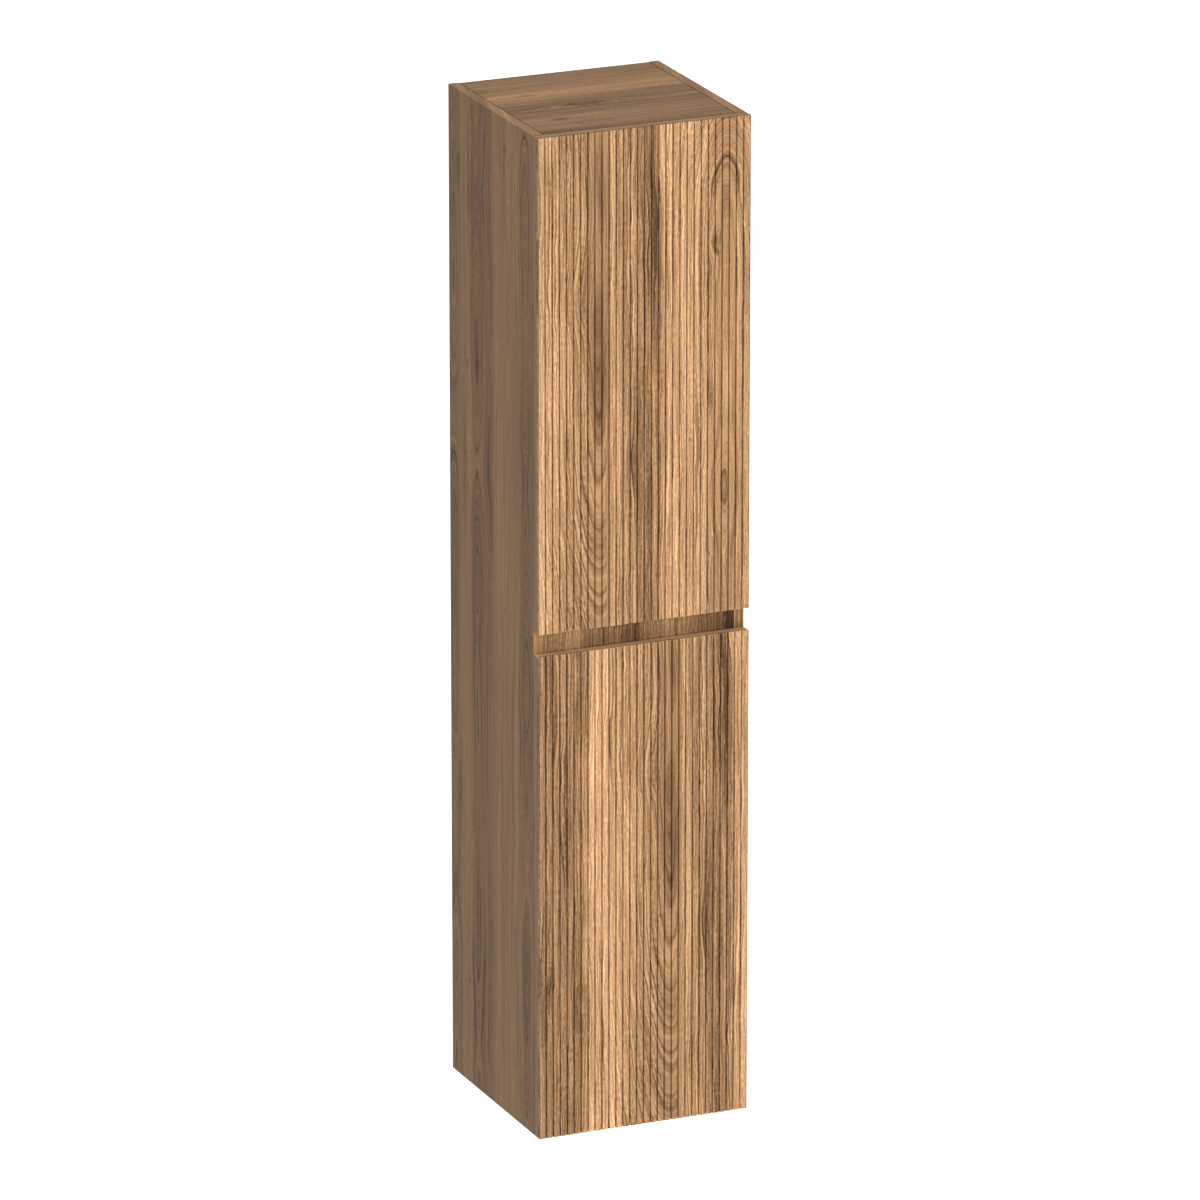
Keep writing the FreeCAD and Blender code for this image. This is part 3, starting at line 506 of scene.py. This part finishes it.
def arched(graph, across, along, flow, heart, seed):
    """The grain's flow with a column of nested arches in it, and how wide of its middle it is."""
    aside = across - heart.middle
    right_flank = graph.maths("MAXIMUM", aside, 0.0) * heart.steep_side
    width = right_flank + graph.maths("MAXIMUM", -aside, 0.0)
    beyond = along - heart.foot if heart.upright else heart.foot - along
    beyond = graph.maths("MAXIMUM", beyond, 0.0) / heart.reach
    beyond = graph.maths("TANH", beyond) * heart.reach
    wander = graph.layer(WANDER, along, heart.middle, seed, heart.wander)
    depth = abs(beyond * beyond * heart.bend + wander + heart.least_depth)
    arch = (width ** ARCH_POINT + depth ** ARCH_POINT) ** (1.0 / ARCH_POINT)
    inside = graph.step(across, heart.left, (heart.left + heart.middle) / 2)
    inside = inside * (1.0 - graph.step(across, heart.right - ARCH_FADE, heart.right))
    return flow + (heart.middle - arch - flow) * inside, width


def knotted(graph, across, along, flow, knots):
    """The grain's flow bent round knots, and how dark the knots make it."""
    shade = 0.0
    for knot in knots:
        aside = across - knot.across
        reach_across = (aside / knot.half_width) ** 2.0
        reach_along = ((along - knot.along) / knot.half_height) ** 2.0
        reach = graph.maths("EXPONENT", -(reach_across + reach_along))
        flow = flow - aside * reach * knot.pull
        if knot.rings:
            flow = flow + reach * knot.rings
        if knot.dark:
            shade = reach * knot.dark + shade
    return flow, shade


def figure(graph, board):
    """Tone and fine grain of figured wood, with planks, arches, knots and streaks."""
    across, along = graph.measure(board.across, board.along)
    start_across, start_along = board.origin
    across = across - start_across
    along = along - start_along
    seed = board.seed
    sway = graph.layer(SWAY, across, along, seed)
    ripple = graph.layer(RIPPLE, across, along, seed)
    across = across + sway + ripple

    flow = across
    fineness = board.streaks
    for heart in board.hearts:
        flow, width = arched(graph, across, along, flow, heart, seed)
        if heart.calm:
            left_over = graph.step(width, *CALM_REACH) * heart.calm + (1.0 - heart.calm)
            fineness = left_over * fineness
    flow, shade = knotted(graph, across, along, flow, board.knots)

    broad = graph.layer(BROAD, flow, along, seed)
    streak = graph.layer(STREAK, flow, along, seed)
    fine = graph.layer(FINE, flow, along, seed)
    fleck = graph.layer(FLECK, flow, along, seed)
    vein = graph.layer(VEIN, flow, along, seed, board.veins)
    grain = (streak + fine + fleck + vein) * fineness
    tone = plank_tone(graph, across, board.planks) + broad + grain - shade
    return (tone - MIDDLE_TONE) * board.contrast + MIDDLE_TONE, grain


def shaded(graph, shade):
    """How far a point lies in a shade, from 0 to 1."""
    place, = graph.measure(shade.direction)
    if shade.both_ends:
        place = abs(place)
    return graph.step(place, shade.edge - shade.band.start, shade.edge - shade.band.full)


def stain(graph, tone, group):
    """The colour of a tone, from vein to pale."""
    tones = [tuple(part) for part in (group.vein, group.brown, group.tan, group.pale)]
    return graph.ramp(tone, list(zip(TONE_PLACES, tones)))


def wood(name, board, group, shades=(), edgings=()):
    """A figured wood finish, darker or paler in its bands, with another stain on each edging; some
    bands are painted shade and one edging is painted light.
    """
    graph = Graph(name)
    tone, grain = figure(graph, board)
    for shade in shades:
        tone = tone - shaded(graph, shade) * shade.band.dark
    shown = stain(graph, tone, group)
    for shade, edge_group in edgings:
        edge_stain = stain(graph, tone - shade.band.dark, edge_group)
        shown = graph.blend(shaded(graph, shade), shown, edge_stain)
    return graph.finish(
        Base_Color=shown,
        Roughness=group.roughness - grain * GRAIN_DULLING,
        Specular_IOR_Level=group.gloss,
        Normal=graph.bump(grain, *GRAIN_BUMP),
    )


def clouded(graph, cloud, shade, dark):
    """A colour that turns darker in its clouds."""
    deep = [part * dark for part in shade]
    return graph.blend(cloud + CLOUD_SHARE, opaque(shade), opaque(deep))


def metal(name, shade, roughness):
    """Plated steel with drawing lines and faint clouding."""
    graph = Graph(name)
    across, up, lines_across, along = graph.measure(PLATE_ACROSS, UP, LINES_ACROSS, BACK)
    cloud = graph.layer(PLATE_CLOUD, across, up)
    lines = graph.layer(PLATE_LINES, lines_across, along)
    return graph.finish(
        Base_Color=clouded(graph, cloud * PLATE_CLOUDING, shade, PLATE_DARK),
        Metallic=1.0,
        Roughness=cloud * CLOUD_DULLING + lines * LINES_DULLING + roughness,
        Normal=graph.bump(lines, *LINES_BUMP),
    )


def moulded(name, shade, roughness, clear=0.0):
    """Moulded plastic with a fine sparked texture."""
    graph = Graph(name)
    across, up = graph.measure(MOULD_ACROSS, MOULD_UP)
    spark = graph.layer(MOULD_SPARK, across, up)
    cloud = graph.layer(MOULD_CLOUD, across, up)
    return graph.finish(
        Base_Color=clouded(graph, cloud, shade, MOULD_DARK),
        Roughness=spark * SPARK_DULLING + roughness,
        Transmission_Weight=clear,
        Normal=graph.bump(spark, *SPARK_BUMP),
    )


def beech(name, fleck_shade, shade):
    """Plain beech with small flecks."""
    graph = Graph(name)
    across, along = graph.measure(BEECH_ACROSS, RIGHT)
    fleck = graph.layer(BEECH_FLECK, across, along)
    return graph.finish(
        Base_Color=graph.blend(fleck, opaque(fleck_shade), opaque(shade)),
        Roughness=fleck * FLECK_DULLING + BEECH_ROUGHNESS,
        Normal=graph.bump(fleck, *FLECK_BUMP),
    )


def dress(names, material, edge=0.0):
    """Gives CAD nodes their finish and, where their arrises are eased, a small bevel."""
    for name in names:
        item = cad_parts[name]
        item.data.materials.clear()
        item.data.materials.append(material)
        if edge:
            bevel = item.modifiers.new("eased edges", "BEVEL")
            bevel.width = edge
            bevel.segments = EASED_SEGMENTS
            bevel.limit_method = "ANGLE"
            bevel.angle_limit = EASED_ANGLE


def loose_parts(node):
    """The corners of each separate solid in a CAD node."""
    mesh = bmesh.new()
    mesh.from_mesh(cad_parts[node].data)
    bmesh.ops.remove_doubles(mesh, verts=mesh.verts, dist=SAME_POINT)
    waiting = set(mesh.verts)
    parts = []
    for start in mesh.verts:
        if start not in waiting:
            continue
        waiting.remove(start)
        part = [start]
        for vert in part:
            for edge in vert.link_edges:
                other = edge.other_vert(vert)
                if other in waiting:
                    waiting.remove(other)
                    part.append(other)
        parts.append([vert.co.copy() for vert in part])
    mesh.free()
    return parts


def cross(half_width, reach):
    """The outline of a cross recess, in four quarters of six points."""
    half = (half_width + reach) / 2
    quarter = [
        (reach, 0.0), (reach, half_width), (half, half_width),
        (half_width, half_width), (half_width, half), (half_width, reach),
    ]
    points = []
    for _ in range(4):
        points += quarter
        quarter = [(-y, x) for x, y in quarter]
    return points


def screw_loops(screw, head, length):
    """A screw's outlines, each with its depth below the top of the head."""
    mouth = cross(*(head * share for share in MOUTH_SHARES))
    spokes = [Vector(point).normalized() for point in mouth]

    def ring(radius, depth):
        return [spoke * radius for spoke in spokes], depth

    crown = screw.rise * CROWN_SHARE
    loops = [
        (cross(head * width, head * reach), head * depth) for width, reach, depth in RECESS_SHARES
    ]
    loops.append((mouth, crown * MOUTH_DEPTH_SHARE))
    loops += [ring(head * radius, crown * depth) for radius, depth in DOME_SHARES]
    loops.append(ring(head, screw.rise * RIM_SHARE))
    loops.append(ring(head, screw.rise))
    loops.append(ring(screw.core, screw.rise))
    turns = int((length - screw.rise) / screw.pitch) - 1
    for turn in range(turns):
        start = screw.rise + (turn + 0.5) * screw.pitch
        loops.append(ring(screw.core * ROOT_SHARE, start))
        loops.append(ring(screw.core, start + screw.pitch / 2))
    loops.append(ring(screw.core * POINT_SHARE, length))
    return loops


def add_screw(mesh, screw, points):
    """Adds one cross-recessed screw where the CAD has it."""
    facing = Vector(screw.facing)
    low, high = (
        Vector([pick(point[axis] for point in points) for axis in range(3)]) for pick in (min, max)
    )
    length = abs((high - low).dot(facing))
    head = (high - low).z / 2
    top = (low + high) / 2 + facing * (length / 2)
    aside = facing.cross(UP)
    upward = aside.cross(facing)
    loops = []
    for outline, depth in screw_loops(screw, head, length):
        loops.append([
            mesh.verts.new(top + aside * x + upward * y - facing * depth) for x, y in outline
        ])
    for inner, outer in zip(loops, loops[1:]):
        for i in range(len(inner)):
            mesh.faces.new((inner[i - 1], outer[i - 1], outer[i], inner[i]))
    mesh.faces.new(loops[0])
    mesh.faces.new(reversed(loops[-1]))


class DoorWood(bpy.types.PropertyGroup):
    """Tones of the doors."""
    vein: bpy.props.FloatVectorProperty(
        name="Vein", description="Darkest streaks", subtype="COLOR", size=3,
        default=colour(64, 47, 34))
    brown: bpy.props.FloatVectorProperty(
        name="Brown", description="Heartwood", subtype="COLOR", size=3,
        default=colour(119, 89, 62))
    tan: bpy.props.FloatVectorProperty(
        name="Tan", description="Main tone", subtype="COLOR", size=3,
        default=colour(171, 133, 96))
    pale: bpy.props.FloatVectorProperty(
        name="Pale", description="Lightest streaks", subtype="COLOR", size=3,
        default=colour(223, 184, 139))
    roughness: bpy.props.FloatProperty(
        name="Roughness", description="Dullness of the finish", subtype="FACTOR", min=0, max=1,
        default=0.5)
    gloss: bpy.props.FloatProperty(
        name="Gloss", description="Sheen of the finish", subtype="FACTOR", min=0, max=1,
        default=0.03)


class CarcassWood(bpy.types.PropertyGroup):
    """Tones and edges of the carcass boards."""
    vein: bpy.props.FloatVectorProperty(
        name="Vein", description="Darkest streaks", subtype="COLOR", size=3,
        default=colour(68, 57, 45))
    brown: bpy.props.FloatVectorProperty(
        name="Brown", description="Heartwood", subtype="COLOR", size=3,
        default=colour(99, 79, 62))
    tan: bpy.props.FloatVectorProperty(
        name="Tan", description="Main tone", subtype="COLOR", size=3,
        default=colour(126, 100, 75))
    pale: bpy.props.FloatVectorProperty(
        name="Pale", description="Lightest streaks", subtype="COLOR", size=3,
        default=colour(162, 126, 94))
    roughness: bpy.props.FloatProperty(
        name="Roughness", description="Dullness of the finish", subtype="FACTOR", min=0, max=1,
        default=0.65)
    gloss: bpy.props.FloatProperty(
        name="Gloss", description="Sheen of the finish", subtype="FACTOR", min=0, max=1,
        default=0.03)
    edge: bpy.props.FloatProperty(
        name="Eased edge", description="Width of the boards' eased arrises", unit="LENGTH",
        default=0.0006, precision=5)


class Fittings(bpy.types.PropertyGroup):
    """Colours of the hinges, screws, hangers, pins, pads and dowels."""
    nickel: bpy.props.FloatVectorProperty(
        name="Nickel", description="Hinges and shelf pins", subtype="COLOR", size=3,
        default=(0.72, 0.70, 0.66))
    zinc: bpy.props.FloatVectorProperty(
        name="Zinc", description="Screws, hanger hooks and wall plates", subtype="COLOR", size=3,
        default=(0.62, 0.64, 0.66))
    plastic: bpy.props.FloatVectorProperty(
        name="Plastic", description="Hanger housings", subtype="COLOR", size=3,
        default=(0.36, 0.30, 0.24))
    bumper: bpy.props.FloatVectorProperty(
        name="Bumper", description="Soft pads on the doors", subtype="COLOR", size=3,
        default=(0.86, 0.86, 0.84))
    dowel_vein: bpy.props.FloatVectorProperty(
        name="Dowel vein", description="Flecks in the beech dowels", subtype="COLOR", size=3,
        default=colour(150, 112, 74))
    dowel: bpy.props.FloatVectorProperty(
        name="Dowel", description="Beech dowels", subtype="COLOR", size=3,
        default=colour(214, 178, 134))


class Studio(bpy.types.PropertyGroup):
    """Camera, floor and light."""
    eye: bpy.props.FloatVectorProperty(
        name="Eye", description="Camera's place", subtype="TRANSLATION", unit="LENGTH", size=3,
        default=(-6.09918, -14.34122, 4.21067))
    heading: bpy.props.FloatProperty(
        name="Heading", description="Turn to the right of straight on", subtype="ANGLE",
        default=math.radians(23.3005))
    tilt: bpy.props.FloatProperty(
        name="Tilt", description="Look below the horizon", subtype="ANGLE",
        default=math.radians(17.7578))
    lens: bpy.props.FloatProperty(
        name="Lens", description="Focal length in millimetres on a 36 mm frame", unit="CAMERA",
        default=315.1)
    drop: bpy.props.FloatProperty(
        name="Drop", description="Height of the hung cabinet above the floor", unit="LENGTH",
        default=0.30)
    floor_size: bpy.props.FloatProperty(
        name="Floor", description="Side of the floor", unit="LENGTH", default=240.0)
    floor_colour: bpy.props.FloatVectorProperty(
        name="Floor colour", description="Colour of the floor's paint", subtype="COLOR", size=3,
        default=(0.8, 0.8, 0.8))
    floor_light: bpy.props.FloatVectorProperty(
        name="Floor light", description="Colour of the floor's glow", subtype="COLOR", size=3,
        default=(1.0, 1.0, 1.0))
    floor_glow: bpy.props.FloatProperty(
        name="Floor glow", description="Brightness of the white floor", default=1.0)
    sky: bpy.props.FloatProperty(
        name="Sky", description="Brightness of the light from all round", default=0.3)
    sky_colour: bpy.props.FloatVectorProperty(
        name="Sky colour", description="Colour of the light from all round", subtype="COLOR",
        size=3, default=(0.96, 0.98, 1.0))
    lamp_colour: bpy.props.FloatVectorProperty(
        name="Lamp colour", description="Colour of both lamps", subtype="COLOR", size=3,
        default=(1.0, 0.97, 0.93))
    key_power: bpy.props.FloatProperty(
        name="Key", description="Power of the main light", unit="POWER", default=245.0)
    key_place: bpy.props.FloatVectorProperty(
        name="Key place", description="Main light, from the cabinet's middle",
        subtype="TRANSLATION", unit="LENGTH", size=3, default=(-1.2, -5.2, 1.7))
    key_size: bpy.props.FloatProperty(
        name="Key size", description="Side of the main light", unit="LENGTH", default=1.2)
    overhead_power: bpy.props.FloatProperty(
        name="Overhead", description="Power of the light above", unit="POWER", default=65.0)
    overhead_height: bpy.props.FloatProperty(
        name="Overhead height", description="Light above the cabinet's top", unit="LENGTH",
        default=2.2)
    overhead_size: bpy.props.FloatProperty(
        name="Overhead size", description="Side of the light above", unit="LENGTH", default=1.2)


class CabinetSettings(bpy.types.PropertyGroup):
    """All that a user would change."""
    doors: bpy.props.PointerProperty(
        type=DoorWood, name="Doors", description="Tones of the doors")
    carcass: bpy.props.PointerProperty(
        type=CarcassWood, name="Carcass", description="Tones of the carcass")
    fittings: bpy.props.PointerProperty(
        type=Fittings, name="Fittings", description="Colours of the fittings")
    studio: bpy.props.PointerProperty(
        type=Studio, name="Studio", description="Camera, floor and light")


def door_sheet(door):
    """How the door sheet's figure lies on a door."""
    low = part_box(f"{door}_door_face")[0].z
    across, along = DOOR_SHIFTS[door]
    seed = SEEDS["door_face"]
    return Board(RIGHT, UP, (across, low + along), seed, DOOR_PLANKS, DOOR_KNOTS, DOOR_HEARTS)


def top_edging_and_painted_light(door, piece, settings):
    """The top of a door's piece with its stain: an edging on the upper door and painted light on
    the lower door.
    """
    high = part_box(f"{door}_door_{piece}")[1]
    group, band = DOOR_TOPS[door]
    return Shade(UP, high.z, band), getattr(settings, group)


class CABINET_OT_door_faces(bpy.types.Operator):
    """Finishes the ribbed fronts of the doors"""
    bl_idname = "cabinet.door_faces"
    bl_label = "Ribbed Door Faces"

    def execute(self, context):
        settings = context.scene.cabinet
        for door in DOORS:
            low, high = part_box(f"{door}_door_face")
            # painted shade in the grooves, by depth behind the front
            groove_shade = Shade(BACK, low.y + GROOVE_DEPTH, GROOVE_PAINTED_SHADE)
            edgings = (
                (Shade(RIGHT, high.x, FACE_ARRIS_PAINTED_SHADE, True), settings.carcass),
                (Shade(RIGHT, high.x, FACE_EDGE_BAND, True), settings.carcass),
                top_edging_and_painted_light(door, "face", settings),
            )
            name = f"{door} door face"
            finish = wood(name, door_sheet(door), settings.doors, (groove_shade,), edgings)
            dress([f"{door}_door_face"], finish)
        return {"FINISHED"}


class CABINET_OT_door_boards(bpy.types.Operator):
    """Finishes the carrier boards behind the ribbed fronts"""
    bl_idname = "cabinet.door_boards"
    bl_label = "Door Boards"

    def execute(self, context):
        settings = context.scene.cabinet
        for door in DOORS:
            low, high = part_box(f"{door}_door_board")
            board = Board(
                (1.0, DOOR_BOARD_WRAP, 0.0), UP, (low.y * DOOR_BOARD_WRAP, low.z),
                SEEDS["door_board"], PLAIN_PLANKS, contrast=0.7)
            edgings = (
                (Shade(RIGHT, high.x, BOARD_EDGE_BAND, True), settings.carcass),
                top_edging_and_painted_light(door, "board", settings),
            )
            finish = wood(f"{door} door board", board, settings.doors, edgings=edgings)
            dress([f"{door}_door_board"], finish, settings.carcass.edge)
        return {"FINISHED"}


class CABINET_OT_side_panels(bpy.types.Operator):
    """Finishes the upright sides"""
    bl_idname = "cabinet.side_panels"
    bl_label = "Side Panels"

    def execute(self, context):
        settings = context.scene.cabinet
        group = settings.carcass
        for side in SIDES:
            low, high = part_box(f"side_panel_{side}")
            outer = low.x if side == "left" else high.x
            board = Board(
                (SIDE_WRAP, -1.0, 0.0), UP, (outer * SIDE_WRAP, low.z),
                SEEDS[f"side_panel_{side}"], SIDE_PLANKS, SIDE_KNOTS, SIDE_HEARTS,
                streaks=0.62, veins=2.2, contrast=0.9)
            # painted shade of the gap between the doors and this side
            gap_shade = Shade(FRONT, -low.y, SIDE_GAP_PAINTED_SHADE)
            top = Shade(UP, high.z, SIDE_TOP_BAND)
            front = Shade(FRONT, -low.y, SIDE_FRONT_BAND), settings.doors
            finish = wood(f"{side} side panel", board, group, (gap_shade, top), (front,))
            dress([f"side_panel_{side}"], finish, group.edge)
        return {"FINISHED"}


class CABINET_OT_end_panels(bpy.types.Operator):
    """Finishes the top and the bottom"""
    bl_idname = "cabinet.end_panels"
    bl_label = "Top and Bottom"

    def execute(self, context):
        group = context.scene.cabinet.carcass
        for name in ("top_panel", "bottom_panel"):
            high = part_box(name)[1]
            board = Board(
                FRONT_AND_UP, RIGHT, (high.z, 0.0), SEEDS[name], TOP_PLANKS, TOP_KNOTS,
                streaks=0.8)
            # painted shade of the gaps at both ends
            gap_shade = Shade(RIGHT, high.x, END_GAP_PAINTED_SHADE, True)
            dress([name], wood(name.replace("_", " "), board, group, (gap_shade,)), group.edge)
        return {"FINISHED"}


class CABINET_OT_shelves(bpy.types.Operator):
    """Finishes the fixed and the loose shelves"""
    bl_idname = "cabinet.shelves"
    bl_label = "Shelves"

    def execute(self, context):
        group = context.scene.cabinet.carcass
        for name in [f"{door}_{shelf}" for door in DOORS for shelf in SHELVES]:
            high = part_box(name)[1]
            board = Board(
                FRONT_AND_UP, RIGHT, (high.z, 0.0), SEEDS[name], PLAIN_PLANKS, contrast=0.8)
            dress([name], wood(name.replace("_", " "), board, group), group.edge)
        return {"FINISHED"}


class CABINET_OT_grip_board(bpy.types.Operator):
    """Finishes the board at the back of the finger gap"""
    bl_idname = "cabinet.grip_board"
    bl_label = "Grip Board"

    def execute(self, context):
        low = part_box("grip_board")[0]
        board = Board(RIGHT, UP, (0.0, low.z), SEEDS["grip_board"], GRIP_PLANKS)
        dress(["grip_board"], wood("grip board", board, context.scene.cabinet.doors))
        return {"FINISHED"}


class CABINET_OT_back_panel(bpy.types.Operator):
    """Finishes the thin back"""
    bl_idname = "cabinet.back_panel"
    bl_label = "Back Panel"

    def execute(self, context):
        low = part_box("back_panel")[0]
        board = Board(RIGHT, UP, (0.0, low.z), SEEDS["back_panel"], PLAIN_PLANKS, contrast=0.8)
        dress(["back_panel"], wood("back panel", board, context.scene.cabinet.carcass))
        return {"FINISHED"}


class CABINET_OT_dowels(bpy.types.Operator):
    """Finishes the beech dowels"""
    bl_idname = "cabinet.dowels"
    bl_label = "Dowels"

    def execute(self, context):
        group = context.scene.cabinet.fittings
        dress(["carcass_dowels"], beech("beech dowel", group.dowel_vein, group.dowel))
        return {"FINISHED"}


class CABINET_OT_hinges(bpy.types.Operator):
    """Finishes the hinges and the shelf pins"""
    bl_idname = "cabinet.hinges"
    bl_label = "Hinges and Shelf Pins"

    def execute(self, context):
        nickel = metal("nickel plate", context.scene.cabinet.fittings.nickel, roughness=0.4)
        names = [
            f"{door}_door_{end}_hinge_{piece}"
            for door in DOORS
            for end in ENDS
            for piece in HINGE_PIECES
        ]
        names += ["hinge_arm_pivot_pins"] + [f"{door}_door_pivot_pins" for door in DOORS]
        names += [f"{door}_shelf_pins" for door in DOORS]
        dress(names, nickel)
        return {"FINISHED"}


class CABINET_OT_hangers(bpy.types.Operator):
    """Finishes the wall hangers and their wall plates"""
    bl_idname = "cabinet.hangers"
    bl_label = "Wall Hangers"

    def execute(self, context):
        group = context.scene.cabinet.fittings
        zinc = metal("zinc plate", group.zinc, roughness=0.38)
        housing = moulded("housing", group.plastic, roughness=0.45)
        for side in SIDES:
            dress([f"hanger_hook_{side}", f"wall_plate_{side}"], zinc)
            dress([f"hanger_housing_{side}"], housing)
        return {"FINISHED"}


class CABINET_OT_screws(bpy.types.Operator):
    """Makes the cross-recessed screws of the hinges and the hangers"""
    bl_idname = "cabinet.screws"
    bl_label = "Screws"

    def execute(self, context):
        finish = metal("screw zinc", context.scene.cabinet.fittings.zinc, roughness=0.32)
        for screw in SCREWS:
            solid = bmesh.new()
            for points in loose_parts(screw.node):
                add_screw(solid, screw, points)
            bmesh.ops.recalc_face_normals(solid, faces=solid.faces)
            for edge in solid.edges:
                edge.smooth = edge.calc_face_angle(0.0) < SMOOTH_ANGLE
            for face in solid.faces:
                face.smooth = True
            name = f"recessed_{screw.node}"
            mesh = bpy.data.meshes.new(name)
            solid.to_mesh(mesh)
            solid.free()
            mesh.materials.append(finish)
            piece = bpy.data.objects.new(name, mesh)
            context.scene.collection.objects.link(piece)
            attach(piece, screw.body)
            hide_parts(screw.node)
        return {"FINISHED"}


class CABINET_OT_bumpers(bpy.types.Operator):
    """Finishes the soft pads behind the doors"""
    bl_idname = "cabinet.bumpers"
    bl_label = "Door Bumpers"

    def execute(self, context):
        shade = context.scene.cabinet.fittings.bumper
        pad = moulded("clear pad", shade, roughness=0.3, clear=0.6)
        dress([f"{door}_door_bumpers" for door in DOORS], pad)
        return {"FINISHED"}


def softbox(name, place, target, size, power, shade):
    """A square studio light that faces a point."""
    light = bpy.data.lights.new(name, "AREA")
    light.energy = power
    light.size = size
    light.color = shade
    lamp = bpy.data.objects.new(name, light)
    lamp.location = place
    lamp.rotation_euler = (target - place).to_track_quat("-Z", "Y").to_euler()
    bpy.context.scene.collection.objects.link(lamp)


class CABINET_OT_stage(bpy.types.Operator):
    """Sets the floor, the light and the camera"""
    bl_idname = "cabinet.stage"
    bl_label = "Studio"

    def execute(self, context):
        scene = context.scene
        studio = scene.cabinet.studio
        low, high = (Vector(corner) for corner in CAD_BOX)
        ground = (0, 0, low.z - studio.drop)
        bpy.ops.mesh.primitive_plane_add(size=studio.floor_size, location=ground)
        floor = context.object
        floor.name = "floor"
        floor.data.materials.append(Graph("white floor").finish(
            Base_Color=opaque(studio.floor_colour),
            Roughness=FLOOR_ROUGHNESS,
            Emission_Color=opaque(studio.floor_light),
            Emission_Strength=studio.floor_glow,
        ))

        middle = (low + high) / 2
        top = Vector((middle.x, middle.y, high.z))
        key = middle + Vector(studio.key_place)
        overhead = top + Vector(UP) * studio.overhead_height
        shade = studio.lamp_colour
        softbox("key", key, middle, studio.key_size, studio.key_power, shade)
        softbox("overhead", overhead, top, studio.overhead_size, studio.overhead_power, shade)

        world = bpy.data.worlds.new("studio")
        world.use_nodes = True
        sky = world.node_tree.nodes["Background"]
        sky.inputs["Color"].default_value = opaque(studio.sky_colour)
        sky.inputs["Strength"].default_value = studio.sky
        scene.world = world
        scene.view_settings.view_transform = "Standard"

        camera = bpy.data.objects.new("camera", bpy.data.cameras.new("camera"))
        camera.location = studio.eye
        camera.rotation_euler = (math.pi / 2 - studio.tilt, 0, -studio.heading)
        camera.data.lens = studio.lens
        camera.data.clip_end = FAR_CLIP
        scene.collection.objects.link(camera)
        scene.camera = camera
        return {"FINISHED"}


OPERATORS = (
    CABINET_OT_door_faces, CABINET_OT_door_boards, CABINET_OT_side_panels, CABINET_OT_end_panels,
    CABINET_OT_shelves, CABINET_OT_grip_board, CABINET_OT_back_panel, CABINET_OT_dowels,
    CABINET_OT_hinges, CABINET_OT_hangers, CABINET_OT_screws, CABINET_OT_bumpers,
    CABINET_OT_stage,
)


class CABINET_PT_panel(bpy.types.Panel):
    """Lists the cabinet's settings and finishing steps"""
    bl_idname = "CABINET_PT_panel"
    bl_label = "Cabinet"
    bl_space_type = "VIEW_3D"
    bl_region_type = "UI"
    bl_category = "Cabinet"

    def draw(self, context):
        settings = context.scene.cabinet
        for part in ("doors", "carcass", "fittings", "studio"):
            group = getattr(settings, part)
            column = self.layout.column(align=True)
            column.label(text=part.title())
            for name in group.__annotations__:
                column.prop(group, name)
        for item in OPERATORS:
            self.layout.operator(item.bl_idname)


CLASSES = (DoorWood, CarcassWood, Fittings, Studio, CabinetSettings, *OPERATORS, CABINET_PT_panel)


def register():
    """Adds the classes and the settings to Blender."""
    for item in CLASSES:
        bpy.utils.register_class(item)
    bpy.types.Scene.cabinet = bpy.props.PointerProperty(
        type=CabinetSettings, name="Cabinet", description="Settings of the ribbed door cabinet")


def unregister():
    """Takes them out again."""
    del bpy.types.Scene.cabinet
    for item in reversed(CLASSES):
        bpy.utils.unregister_class(item)


def main():
    """Dresses the cabinet and sets the studio."""
    register()
    bpy.ops.cabinet.door_faces()
    bpy.ops.cabinet.door_boards()
    bpy.ops.cabinet.side_panels()
    bpy.ops.cabinet.end_panels()
    bpy.ops.cabinet.shelves()
    bpy.ops.cabinet.grip_board()
    bpy.ops.cabinet.back_panel()
    bpy.ops.cabinet.dowels()
    bpy.ops.cabinet.hinges()
    bpy.ops.cabinet.hangers()
    bpy.ops.cabinet.screws()
    bpy.ops.cabinet.bumpers()
    bpy.ops.cabinet.stage()


if __name__ == "__main__":
    main()
